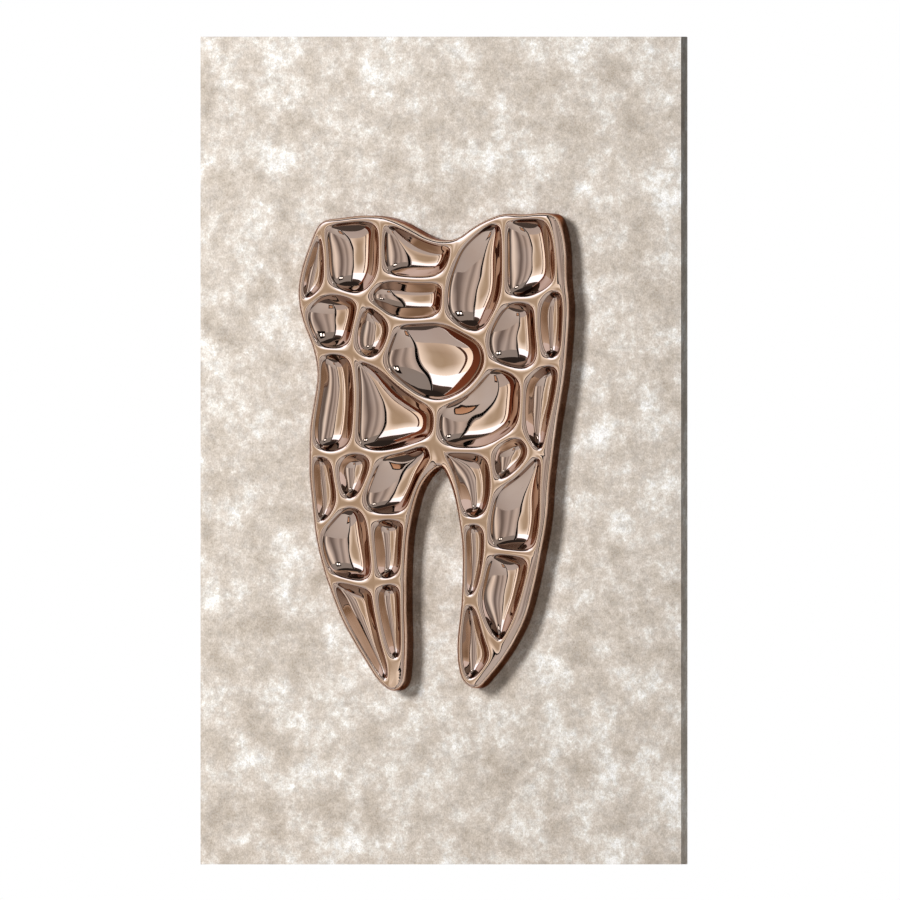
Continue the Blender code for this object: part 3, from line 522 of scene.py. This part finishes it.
def makeStone():
    material = emptyMaterial("honedCloudyStone")
    look = stoneLook
    spot = addNode(material, "ShaderNodeTexCoord").outputs["Object"]
    clouds = addNode(material, "ShaderNodeTexNoise", {
        "Vector": spot, "Scale": 1000 / look["cloudMm"], "Detail": 10.0, "Roughness": 0.72})
    flecks = addNode(material, "ShaderNodeTexNoise", {
        "Vector": spot, "Scale": 1000 / look["fleckMm"], "Detail": 6.0, "Roughness": 0.75})
    level = addNode(material, "ShaderNodeMix", {0: look["fleckShare"], 2: clouds, 3: flecks})
    cloudColour = addNode(material, "ShaderNodeValToRGB", {"Fac": level}, look["clouds"])
    mottles = addNode(material, "ShaderNodeTexNoise", {
        "Vector": spot, "Scale": 1000 / look["mottleMm"], "Detail": 9.0, "Roughness": 0.8})
    low, high = look["mottleSpan"]
    mottleShare = addNode(material, "ShaderNodeMapRange", {
        "Value": mottles, "From Min": low, "From Max": high, "To Max": look["mottleShare"]})
    mottled = addNode(material, "ShaderNodeMix", {
        0: mottleShare, 6: cloudColour, 7: look["mottleColour"]}, data_type="RGBA")
    wide, tall = look["grainMm"]
    upright = addNode(material, "ShaderNodeMapping", {"Vector": spot, "Scale": (1, 1, wide / tall)})
    grain = addNode(material, "ShaderNodeTexNoise", {
        "Vector": upright, "Scale": 1000 / wide, "Detail": 4.0, "Roughness": 0.7})
    grainColour = addNode(material, "ShaderNodeValToRGB", {"Fac": grain}, look["grain"])
    grained = addNode(material, "ShaderNodeMix", {
        0: 1.0, 6: mottled.outputs[2], 7: grainColour}, data_type="RGBA", blend_type="MULTIPLY")
    pits = addNode(material, "ShaderNodeTexVoronoi", {"Vector": spot, "Scale": 1000 / look["pitMm"]})
    pitShare = addNode(material, "ShaderNodeMapRange", {"Value": pits, "From Max": look["pitReach"]})
    height = addNode(material, "ShaderNodeMath", {0: mottles, 1: pitShare}, operation="ADD")
    relief = addNode(material, "ShaderNodeBump", {
        "Height": height, "Strength": 0.3, "Distance": look["reliefMm"] / 1000})
    shader = addNode(material, "ShaderNodeBsdfPrincipled", {
        "Base Color": grained.outputs[2], "Roughness": look["roughness"], "Specular IOR Level": look["shine"],
        "Normal": relief})
    addNode(material, "ShaderNodeOutputMaterial", {"Surface": shader})
    return material


# planed pine: raw softwood from the planer, straw yellow with orange-brown growth lines and a dry fibre
pineLook = {
    "growth": [(0.0, "#e2c497"), (0.6, "#d9b581"), (0.93, "#b98249"), (1.0, "#e2c497")],
    "fibre": [(0.35, "#dfd3c2"), (0.6, "#ffffff")],
    "ringMm": 46, "rings": 13, "lengthMm": 700, "fibreMm": 0.7, "reliefMm": 0.2, "roughness": 0.62}


def makePine(name, grainScale):
    # grainScale squeezes the pattern along the board
    material = emptyMaterial(name)
    look = pineLook
    spot = addNode(material, "ShaderNodeTexCoord").outputs["Object"]
    along = addNode(material, "ShaderNodeMapping", {"Vector": spot, "Scale": grainScale})
    figure = addNode(material, "ShaderNodeTexNoise", {
        "Vector": along, "Scale": 1000 / look["ringMm"], "Detail": 2.0})
    layers = addNode(material, "ShaderNodeMath", {0: figure, 1: look["rings"]}, operation="MULTIPLY")
    ring = addNode(material, "ShaderNodeMath", {0: layers}, operation="FRACT")
    ringColour = addNode(material, "ShaderNodeValToRGB", {"Fac": ring}, look["growth"])
    fibre = addNode(material, "ShaderNodeTexNoise", {
        "Vector": along, "Scale": 1000 / look["fibreMm"], "Detail": 3.0})
    fibreColour = addNode(material, "ShaderNodeValToRGB", {"Fac": fibre}, look["fibre"])
    wood = addNode(material, "ShaderNodeMix", {
        0: 1.0, 6: ringColour, 7: fibreColour}, data_type="RGBA", blend_type="MULTIPLY")
    relief = addNode(material, "ShaderNodeBump", {
        "Height": fibre, "Strength": 0.35, "Distance": look["reliefMm"] / 1000})
    shader = addNode(material, "ShaderNodeBsdfPrincipled", {
        "Base Color": wood.outputs[2], "Roughness": look["roughness"], "Normal": relief})
    addNode(material, "ShaderNodeOutputMaterial", {"Surface": shader})
    return material


# aluminium: extruded and left as it came from the mill, satin grey with fine die lines along its length
aluminiumLook = {"tone": [(0.35, "#aeb0b4"), (0.6, "#c4c6c9")], "lineMm": 0.6, "lengthMm": 120,
                 "reliefMm": 0.1, "roughness": (0.3, 0.46)}


def makeAluminium():
    material = emptyMaterial("millFinishAluminium")
    look = aluminiumLook
    spot = addNode(material, "ShaderNodeTexCoord").outputs["Object"]
    along = addNode(material, "ShaderNodeMapping", {
        "Vector": spot, "Scale": (look["lineMm"] / look["lengthMm"], 1, 1)})
    lines = addNode(material, "ShaderNodeTexNoise", {
        "Vector": along, "Scale": 1000 / look["lineMm"], "Detail": 3.0})
    tone = addNode(material, "ShaderNodeValToRGB", {"Fac": lines}, look["tone"])
    smooth, rough = look["roughness"]
    roughness = addNode(material, "ShaderNodeMapRange", {"Value": lines, "To Min": smooth, "To Max": rough})
    relief = addNode(material, "ShaderNodeBump", {
        "Height": lines, "Strength": 0.3, "Distance": look["reliefMm"] / 1000})
    shader = addNode(material, "ShaderNodeBsdfPrincipled", {
        "Base Color": tone, "Metallic": 1.0, "Roughness": roughness, "Normal": relief})
    addNode(material, "ShaderNodeOutputMaterial", {"Surface": shader})
    return material


# metals of the fixings: zinc-plated steel has a bluish satin skin with faint cloudy crystals, and turned
# brass is yellow and brighter, with fine tool marks
fixingLooks = {
    "zincPlatedSteel": {"tone": [(0.25, "#9599a2"), (0.6, "#b7bbc2")],
                        "patchMm": 2.2, "reliefMm": 0.1, "roughness": (0.26, 0.42)},
    "turnedBrass": {"tone": [(0.25, "#b48a3c"), (0.6, "#d2ad5e")],
                    "patchMm": 0.5, "reliefMm": 0.1, "roughness": (0.22, 0.34)},
}


def makeFixingMetal(name):
    material = emptyMaterial(name)
    look = fixingLooks[name]
    spot = addNode(material, "ShaderNodeTexCoord").outputs["Object"]
    patches = addNode(material, "ShaderNodeTexVoronoi", {"Vector": spot, "Scale": 1000 / look["patchMm"]})
    mottle = addNode(material, "ShaderNodeTexNoise", {
        "Vector": spot, "Scale": 1000 / look["patchMm"], "Detail": 4.0})
    level = addNode(material, "ShaderNodeMix", {0: 0.5, 2: patches, 3: mottle})
    tone = addNode(material, "ShaderNodeValToRGB", {"Fac": level}, look["tone"])
    smooth, rough = look["roughness"]
    roughness = addNode(material, "ShaderNodeMapRange", {"Value": mottle, "To Min": smooth, "To Max": rough})
    relief = addNode(material, "ShaderNodeBump", {
        "Height": level, "Strength": 0.2, "Distance": look["reliefMm"] / 1000})
    shader = addNode(material, "ShaderNodeBsdfPrincipled", {
        "Base Color": tone, "Metallic": 1.0, "Roughness": roughness, "Normal": relief})
    addNode(material, "ShaderNodeOutputMaterial", {"Surface": shader})
    return material


# wool felt: pressed from dyed fibres, charcoal, matt, with a soft lit edge and tangled fibres drawn 0.5 mm
# wide so that they show
feltLook = {"tone": [(0.35, "#2b2b2d"), (0.65, "#56565a")],
            "fibreMm": 0.5, "reliefMm": 0.3, "roughness": 0.96, "sheen": 0.35}


def makeFelt():
    material = emptyMaterial("pressedWoolFelt")
    look = feltLook
    spot = addNode(material, "ShaderNodeTexCoord").outputs["Object"]
    fibres = addNode(material, "ShaderNodeTexNoise", {
        "Vector": spot, "Scale": 1000 / look["fibreMm"], "Detail": 6.0, "Roughness": 0.7, "Distortion": 1.5})
    tone = addNode(material, "ShaderNodeValToRGB", {"Fac": fibres}, look["tone"])
    relief = addNode(material, "ShaderNodeBump", {
        "Height": fibres, "Strength": 0.7, "Distance": look["reliefMm"] / 1000})
    shader = addNode(material, "ShaderNodeBsdfPrincipled", {
        "Base Color": tone, "Roughness": look["roughness"], "Sheen Weight": look["sheen"], "Normal": relief})
    addNode(material, "ShaderNodeOutputMaterial", {"Surface": shader})
    return material


stone = makeStone()
pineUpright = makePine("planedPineUpright", (1, 1, pineLook["ringMm"] / pineLook["lengthMm"]))
pineAcross = makePine("planedPineAcross", (pineLook["ringMm"] / pineLook["lengthMm"], 1, 1))
aluminium = makeAluminium()
zincSteel = makeFixingMetal("zincPlatedSteel")
brass = makeFixingMetal("turnedBrass")
felt = makeFelt()
print("materials made")


def startEditing(piece):
    bpy.ops.object.select_all(action="DESELECT")
    piece.select_set(True)
    bpy.context.view_layer.objects.active = piece
    bpy.ops.object.mode_set(mode="EDIT")
    bpy.ops.mesh.select_mode(type="FACE")
    bpy.ops.mesh.select_all(action="DESELECT")


def selectFaces(piece, isWanted):
    # leaves only those faces selected whose middle and normal pass the test
    cage = bmesh.from_edit_mesh(piece.data)
    for face in cage.faces:
        face.select_set(isWanted(face.calc_center_median(), face.normal))
    cage.select_flush_mode()
    bmesh.update_edit_mesh(piece.data)


smoothBelow = 35        # degrees: faces that meet at less shade as one


def finishPiece(piece, node, material, body="sculpture"):
    # the piece stands in for the node, which is hidden, and goes under its body's empty with the given
    # finish; its place is kept in its mesh
    bpy.ops.object.select_all(action="DESELECT")
    piece.select_set(True)
    bpy.context.view_layer.objects.active = piece
    bpy.ops.object.transform_apply(location=True, rotation=True, scale=True)
    bpy.ops.object.shade_smooth_by_angle(angle=math.radians(smoothBelow))
    piece.data.materials.clear()
    piece.data.materials.append(material)
    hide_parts(node)
    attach(piece, body)


# how much the arrises of the sawn, cut or extruded bars are eased in mm, by material
easedBars = {
    "stone": (0.6, ["face_board", "edge_strip_left", "edge_strip_right", "edge_strip_top",
                    "edge_strip_bottom"]),
    "timber": (0.9, ["hanging_rail", "brace_upper", "brace_middle", "brace_lower", "frame_rail_top",
                     "frame_rail_bottom", "frame_stile_left", "frame_stile_right"]),
    "aluminium": (0.5, ["wall_cleat", "panel_cleat"])}
barEasing = {"steps": 3, "sharpAbove": 40, "flatBelow": 1, "mergeMm": 0.02, "squeezedMm": 0.01}


def makeBar(node, arris, material):
    # a merged copy of the bar's CAD node with its arrises rounded
    piece = bpy.data.objects.new(node + "Eased", nodes[node].data.copy())
    scene.collection.objects.link(piece)
    startEditing(piece)
    bpy.ops.mesh.select_all(action="SELECT")
    bpy.ops.mesh.remove_doubles(threshold=barEasing["mergeMm"] / 1000)
    bpy.ops.mesh.dissolve_limited(angle_limit=math.radians(barEasing["flatBelow"]))
    bpy.ops.object.mode_set(mode="OBJECT")
    rounding = piece.modifiers.new("rounding", "BEVEL")
    rounding.width = arris / 1000
    rounding.segments = barEasing["steps"]
    rounding.limit_method = "ANGLE"
    rounding.angle_limit = math.radians(barEasing["sharpAbove"])
    bpy.ops.object.modifier_apply(modifier="rounding")
    startEditing(piece)
    bpy.ops.mesh.select_all(action="SELECT")
    bpy.ops.mesh.dissolve_degenerate(threshold=barEasing["squeezedMm"] / 1000)
    bpy.ops.object.mode_set(mode="OBJECT")
    finishPiece(piece, node, material, "wall_rail" if node == "wall_cleat" else "sculpture")


def makeBars():
    for slot, (arris, bars) in easedBars.items():
        for node in bars:
            pine = pineUpright if "stile" in node else pineAcross
            makeBar(node, arris, {"stone": stone, "timber": pine, "aluminium": aluminium}[slot])
        print("bars eased:", slot, len(bars))


def addDrum(name, sides, radius, tall, place):
    # a cylinder along Y, sizes in m, with its place in its mesh
    bpy.ops.object.select_all(action="DESELECT")
    bpy.ops.mesh.primitive_cylinder_add(vertices=sides, radius=radius, depth=tall, location=place,
                                        rotation=(math.radians(90), 0, 0))
    drum = bpy.context.object
    drum.name = name
    bpy.ops.object.transform_apply(location=True, rotation=True, scale=True)
    return drum


def cutInto(piece, cutter):
    # takes the cutter's shape out of the piece, and the cutter away
    bpy.ops.object.select_all(action="DESELECT")
    bpy.context.view_layer.objects.active = piece
    piece.select_set(True)
    recess = piece.modifiers.new("recess", "BOOLEAN")
    recess.operation = "DIFFERENCE"
    recess.solver = "EXACT"
    recess.object = cutter
    bpy.ops.object.modifier_apply(modifier="recess")
    bpy.data.objects.remove(cutter)


def copiesAt(piece, firstNode, others, material):
    # the finished piece for its first node, and a copy of it with its own mesh for each other node
    low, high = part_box(firstNode)
    for node in others:
        itsLow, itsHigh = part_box(node)
        mesh = piece.data.copy()
        mesh.transform(Matrix.Translation((itsLow + itsHigh - low - high) / 2))
        twin = bpy.data.objects.new(piece.name, mesh)
        scene.collection.objects.link(twin)
        finishPiece(twin, node, material)
    finishPiece(piece, firstNode, material)


# hex socket screw, sizes in mm
socketScrew = {"head": 5.5, "headTall": 4.8, "shank": 3.0, "socketFlats": 5.0, "socketDeep": 2.8,
               "knurls": 40, "knurlDeep": 0.14, "knurlLand": 0.1, "chamfer": 0.5, "tip": 0.6,
               "tipShare": 0.82}


def makeScrews():
    look = socketScrew
    low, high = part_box("screw_1")
    middle = (low + high) / 2
    headLow = high.y - look["headTall"] / 1000
    knurlTop = high.y - look["chamfer"] * 1.5 / 1000
    knurlStep = math.pi / look["knurls"]

    def isKnurl(spot, normal):
        around = math.atan2(spot.z - middle.z, spot.x - middle.x) / knurlStep
        return abs(normal.y) < 0.1 and headLow < spot.y < knurlTop and round(around - 0.5) % 2 == 0

    screw = addDrum("socketScrew", look["knurls"] * 2, look["head"] / 1000, look["headTall"] / 1000,
                    (middle.x, high.y - look["headTall"] / 2000, middle.z))
    startEditing(screw)
    selectFaces(screw, lambda spot, normal: normal.y > 0.9)
    bpy.ops.mesh.bevel(offset=look["chamfer"] / 1000, segments=3, affect="EDGES")
    selectFaces(screw, lambda spot, normal: normal.y < -0.9)
    bpy.ops.mesh.inset(thickness=(look["head"] - look["shank"]) / 1000)
    shankLong = high.y - low.y - (look["headTall"] + look["tip"]) / 1000
    bpy.ops.mesh.extrude_region_move(TRANSFORM_OT_translate={"value": (0, -shankLong, 0)})
    bpy.ops.mesh.extrude_region_move(TRANSFORM_OT_translate={"value": (0, -look["tip"] / 1000, 0)})
    bpy.ops.transform.resize(value=(look["tipShare"], 1, look["tipShare"]))
    selectFaces(screw, isKnurl)
    bpy.ops.mesh.inset(thickness=look["knurlLand"] / 1000, depth=-look["knurlDeep"] / 1000,
                       use_individual=True)
    bpy.ops.object.mode_set(mode="OBJECT")
    socketRadius = look["socketFlats"] / 2000 / math.cos(math.radians(30))
    socket = addDrum("socket", 6, socketRadius, 2 * look["socketDeep"] / 1000, (middle.x, high.y, middle.z))
    cutInto(screw, socket)
    copiesAt(screw, "screw_1", [f"screw_{i}" for i in range(2, 7)], zincSteel)
    print("socket screws made:", 6)


# flat washer, sizes in mm
washerSize = {"sides": 64, "outside": 9.0, "bore": 3.3, "arris": 0.25}


def makeWashers():
    look = washerSize
    low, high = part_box("washer_1")
    washer = addDrum("flatWasher", look["sides"], look["outside"] / 1000, high.y - low.y, (low + high) / 2)
    startEditing(washer)
    selectFaces(washer, lambda spot, normal: abs(normal.y) > 0.9)
    bpy.ops.mesh.inset(thickness=(look["outside"] - look["bore"]) / 1000)
    bpy.ops.mesh.bridge_edge_loops()
    bpy.ops.mesh.select_mode(type="EDGE")
    bpy.ops.mesh.select_all(action="DESELECT")
    bpy.ops.mesh.edges_select_sharp(sharpness=math.radians(60))
    bpy.ops.mesh.bevel(offset=look["arris"] / 1000, segments=2, affect="EDGES")
    bpy.ops.mesh.select_all(action="SELECT")
    bpy.ops.mesh.normals_make_consistent(inside=False)
    bpy.ops.object.mode_set(mode="OBJECT")
    copiesAt(washer, "washer_1", [f"washer_{i}" for i in range(2, 7)], zincSteel)
    print("washers made:", 6)


# countersunk wood screw, sizes in mm; its drive is a six-lobed recess
sunkScrew = {"sides": 48, "head": 4.6, "rim": 0.25, "cone": 1.75, "shank": 2.2, "point": 3.2,
             "pointShare": 0.12, "driveRadius": 2.0, "driveLobes": 6, "driveDeep": 1.5, "driveWaist": 0.76}


def makeCleatScrews():
    look = sunkScrew
    low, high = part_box("cleat_screw_1")
    middle = (low + high) / 2
    screw = addDrum("sunkScrew", look["sides"], look["head"] / 1000, look["rim"] / 1000,
                    (middle.x, high.y - look["rim"] / 2000, middle.z))
    startEditing(screw)
    selectFaces(screw, lambda spot, normal: normal.y < -0.9)
    shankShare = look["shank"] / look["head"]
    bpy.ops.mesh.extrude_region_move(TRANSFORM_OT_translate={"value": (0, -look["cone"] / 1000, 0)})
    bpy.ops.transform.resize(value=(shankShare, 1, shankShare))
    shankLong = high.y - low.y - (look["rim"] + look["cone"] + look["point"]) / 1000
    bpy.ops.mesh.extrude_region_move(TRANSFORM_OT_translate={"value": (0, -shankLong, 0)})
    bpy.ops.mesh.extrude_region_move(TRANSFORM_OT_translate={"value": (0, -look["point"] / 1000, 0)})
    bpy.ops.transform.resize(value=(look["pointShare"], 1, look["pointShare"]))
    bpy.ops.object.mode_set(mode="OBJECT")
    drive = addDrum("drive", look["driveLobes"] * 2, look["driveRadius"] / 1000, 2 * look["driveDeep"] / 1000,
                    (middle.x, high.y, middle.z))
    for vertex in drive.data.vertices:
        right, up = vertex.co.x - middle.x, vertex.co.z - middle.z
        if round(math.atan2(up, right) * look["driveLobes"] / math.pi) % 2:
            vertex.co.x = middle.x + right * look["driveWaist"]
            vertex.co.z = middle.z + up * look["driveWaist"]
    cutInto(screw, drive)
    copiesAt(screw, "cleat_screw_1", [f"cleat_screw_{i}" for i in range(2, 5)], zincSteel)
    print("cleat screws made:", 4)


# felt pad: a stamped disc with a soft edge and a slightly pressed middle on the wall side, in mm
feltPad = {"sides": 72, "edge": 0.7, "edgeSteps": 4, "pressedRim": 4.0, "pressed": 0.25}


def makePads():
    look = feltPad
    low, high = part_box("wall_pad_left")
    pad = addDrum("feltPad", look["sides"], (high.x - low.x) / 2, high.y - low.y, (low + high) / 2)
    startEditing(pad)
    selectFaces(pad, lambda spot, normal: abs(normal.y) > 0.9)
    bpy.ops.mesh.bevel(offset=look["edge"] / 1000, segments=look["edgeSteps"], affect="EDGES")
    selectFaces(pad, lambda spot, normal: normal.y > 0.99)
    bpy.ops.mesh.inset(thickness=look["pressedRim"] / 1000)
    bpy.ops.mesh.inset(thickness=look["pressedRim"] / 1000, depth=-look["pressed"] / 1000)
    bpy.ops.object.mode_set(mode="OBJECT")
    copiesAt(pad, "wall_pad_left", ["wall_pad_right"], felt)
    print("felt pads made:", 2)


makeBars()
makeScrews()
makeWashers()
makeCleatScrews()
makePads()
for i in range(1, 7):
    insert = nodes[f"insert_{i}"]
    insert.data.materials.clear()
    insert.data.materials.append(brass)


# studio: pale floor, white backdrop, key softbox from the upper left, a fill for the back
# the share of brightness that the cards keep in a second reflection is a painted shade, darkening the metal's
# pockets
studio = {"floorSize": 12, "floorDrop": 0.01, "ambient": 0.07, "secondReflectionShade": 0.56, "cardStep": 4,
          "keyPower": 442.0, "keySize": (1.3, 1.6), "keyPlace": (-2.55, -5.9, 1.55),
          "fillPower": 90.0, "fillSize": (1.5, 1.5), "fillPlace": (-0.5, 2.6, 0.9)}


def addLamp(name, power, size, place):
    data = bpy.data.lights.new(name, "AREA")
    data.shape = "RECTANGLE"
    data.size, data.size_y = size
    data.energy = power
    lamp = bpy.data.objects.new(name, data)
    scene.collection.objects.link(lamp)
    middle = Vector((0, panelFront, panelMiddle))
    lamp.location = middle + Vector(place)
    lamp.rotation_euler = (middle - lamp.location).to_track_quat("-Z", "Y").to_euler()
    lamp.visible_glossy = False     # the metal sees the softbox cards instead


# smooth painted floor: near white, with faint soft clouding
floorLook = {"tone": [(0.3, "#e4e2de"), (0.7, "#ecebe8")], "cloudsPerMetre": 3.0, "roughness": 0.8}


def makePaleFloor():
    material = emptyMaterial("paintedFloor")
    look = floorLook
    spot = addNode(material, "ShaderNodeTexCoord").outputs["Object"]
    clouding = addNode(material, "ShaderNodeTexNoise", {
        "Vector": spot, "Scale": look["cloudsPerMetre"], "Detail": 4.0})
    tone = addNode(material, "ShaderNodeValToRGB", {"Fac": clouding}, look["tone"])
    shader = addNode(material, "ShaderNodeBsdfPrincipled", {
        "Base Color": tone, "Roughness": look["roughness"]})
    addNode(material, "ShaderNodeOutputMaterial", {"Surface": shader})
    return material


def makeStudio():
    bpy.ops.object.select_all(action="DESELECT")
    floorHeight = boardLow[2] - studio["floorDrop"]
    bpy.ops.mesh.primitive_plane_add(size=studio["floorSize"], location=(0, -1, floorHeight))
    floor = bpy.context.object
    floor.name = "paleFloor"
    floor.data.materials.append(makePaleFloor())
    floor.visible_glossy = False
    world = bpy.data.worlds.new("studioWorld")
    world.use_nodes = True
    scene.world = world
    tree = world.node_tree
    ambient = tree.nodes["Background"]
    ambient.inputs["Color"].default_value = (1, 1, 1, 1)
    ambient.inputs["Strength"].default_value = studio["ambient"]
    white = addNode(world, "ShaderNodeBackground", {"Color": "#ffffff", "Strength": 1.0})
    path = addNode(world, "ShaderNodeLightPath")
    sharp = addNode(world, "ShaderNodeMath", {
        0: path.outputs["Is Camera Ray"], 1: path.outputs["Is Glossy Ray"]}, operation="MAXIMUM")
    seen = addNode(world, "ShaderNodeMath", {
        0: sharp, 1: path.outputs["Is Transmission Ray"]}, operation="MAXIMUM")
    mix = addNode(world, "ShaderNodeMixShader", {0: seen, 1: ambient, 2: white})
    tree.links.new(mix.outputs[0], tree.nodes["World Output"].inputs["Surface"])
    addLamp("keyLamp", studio["keyPower"], studio["keySize"], studio["keyPlace"])
    addLamp("backFill", studio["fillPower"], studio["fillSize"], studio["fillPlace"])


# studio cards that only the polished metal sees: where each one stands round the tooth in degrees (left
# to right, bottom to top), rows of colours from its bottom up, its brightness and its distance in m
studioCards = {
    "beigeCard": ((-42, 0), (-34, 26), [["#e6dacd", "#c4b6a8", "#c0b1a3", "#e2d5c9"],
                                        ["#f3e9de", "#b2a291", "#a08f7b", "#efe4d8"],
                                        ["#f6ede3", "#b5a594", "#a6957f", "#f6ece1"],
                                        ["#ffffff", "#fffaf3", "#fff7ef", "#fffcf7"]], 1.12, 4.5),
    "darkCardLeft": ((-47, -42), (-34, 26), [["#4a3026"], ["#5a3c2f"]], 1.0, 4.5),
    "creamCardLeft": ((-61, -47), (-34, 26), [["#d9cabb"], ["#f8f0e7"]], 1.4, 4.5),
    "softboxAbove": ((-60, 0), (25, 50), [["#ecf1ff"]], 1.65, 4.5),
    "dimAboveSoftbox": ((-60, 0), (50, 64), [["#5a4d47"], ["#37302d"]], 1.0, 4.5),
    "blackFlagFront": ((1.5, 6), (-64, 64), [["#0b0a0a"]], 1.0, 4.45),
    "greyCardRight": ((0, 80), (-18, 34), [
        ["#8d8582", "#a19996", "#bcb3af", "#a39b97", "#7b7370", "#aaa29f", "#8f8784", "#554b48", "#a09895",
         "#e9e1da", "#3a3230", "#7d7572"]], 1.25, 4.5),
    "paleCardRightBelow": ((0, 80), (-64, -18), [["#cfcac9", "#c6c1bf", "#b1aba9"],
                                                 ["#bdb7b5", "#b5afad", "#a09997"]], 1.0, 4.5),
    "greyCardBelow": ((-60, 0), (-64, -34), [["#b3abaa"], ["#b9b2b0"]], 1.0, 4.5),
    "greyCardRightAbove": ((0, 80), (34, 64), [["#8f8a88"]], 1.0, 4.5),
    "tanCardEdge": ((8, 24), (-60, -42), [["#1a1210"]], 1.0, 4.4),
    "tanCard": ((11, 21), (-57, -45), [["#b48c70"], ["#c8a084"]], 1.0, 4.3),
    "darkStand": ((42, 60), (30, 50), [["#171312"]], 1.0, 4.3),
    "smallLampLeft": ((45, 49), (36, 43), [["#ffffff"]], 3.0, 4.2),
    "smallLampRight": ((52, 56), (34, 41), [["#ffffff"]], 3.0, 4.2),
    "copperCardLeft": ((-84, -61), (-64, 64), [["#4c2416"], ["#7d4730"]], 1.0, 4.5),
    "darkCeiling": ((-100, 100), (64, 90), [["#2c2725"]], 1.0, 4.5),
    "darkFloor": ((-100, 100), (-90, -64), [["#4a4340"]], 1.0, 4.5),
    "darkRight": ((80, 100), (-64, 64), [["#3a3431"]], 1.0, 4.5),
    "darkLeft": ((-100, -84), (-64, 64), [["#3a3431"]], 1.0, 4.5),
}


def shadeBetween(colours, share):
    # the colour at a share of the way along a list of them
    place = share * (len(colours) - 1)
    first = min(int(place), max(0, len(colours) - 2))
    second = min(first + 1, len(colours) - 1)
    return colours[first].lerp(colours[second], place - first)


def shadeAt(rows, across, up):
    # a card's colour at two shares, smooth between its rows of colours
    colours = [[Vector(linearColour(shade)) for shade in row] for row in rows]
    return shadeBetween([shadeBetween(row, across) for row in colours], up)


def makeCards():
    centre = Vector((0, panelFront, panelMiddle))
    for name, (across, up, colours, strength, reach) in studioCards.items():
        sheet = bmesh.new()
        columns = max(2, round((across[1] - across[0]) / studio["cardStep"]) + 1)
        rows = max(2, round((up[1] - up[0]) / studio["cardStep"]) + 1)
        shades = sheet.verts.layers.float_color.new("shade")
        grid = []
        for i in range(columns):
            line = []
            for j in range(rows):
                right, high = i / (columns - 1), j / (rows - 1)
                a = math.radians(across[0] + (across[1] - across[0]) * right)
                e = math.radians(up[0] + (up[1] - up[0]) * high)
                away = Vector((math.sin(a) * math.cos(e), -math.cos(a) * math.cos(e), math.sin(e)))
                vertex = sheet.verts.new(centre + away * reach)
                vertex[shades] = shadeAt(colours, right, high)
                line.append(vertex)
            grid.append(line)
        for i in range(columns - 1):
            for j in range(rows - 1):
                sheet.faces.new((grid[i][j], grid[i + 1][j], grid[i + 1][j + 1], grid[i][j + 1]))
        mesh = bpy.data.meshes.new(name)
        sheet.to_mesh(mesh)
        sheet.free()
        card = bpy.data.objects.new(name, mesh)
        scene.collection.objects.link(card)
        material = emptyMaterial(name)
        shade = addNode(material, "ShaderNodeAttribute", attribute_name="shade")
        path = addNode(material, "ShaderNodeLightPath")
        fading = addNode(material, "ShaderNodeMapRange", {
            "Value": path.outputs["Glossy Depth"], "From Min": 1.0, "From Max": 2.0, "To Min": strength,
            "To Max": strength * studio["secondReflectionShade"]})     # painted shade: the cards glow dimmer where the metal sees them in a second reflection, which darkens its pockets
        glow = addNode(material, "ShaderNodeEmission", {"Color": shade, "Strength": fading})
        addNode(material, "ShaderNodeOutputMaterial", {"Surface": glow})
        mesh.materials.append(material)
        card.visible_camera = False
        card.visible_diffuse = False
        card.visible_shadow = False
        card.visible_transmission = False


makeStudio()
makeCards()
print("studio set")
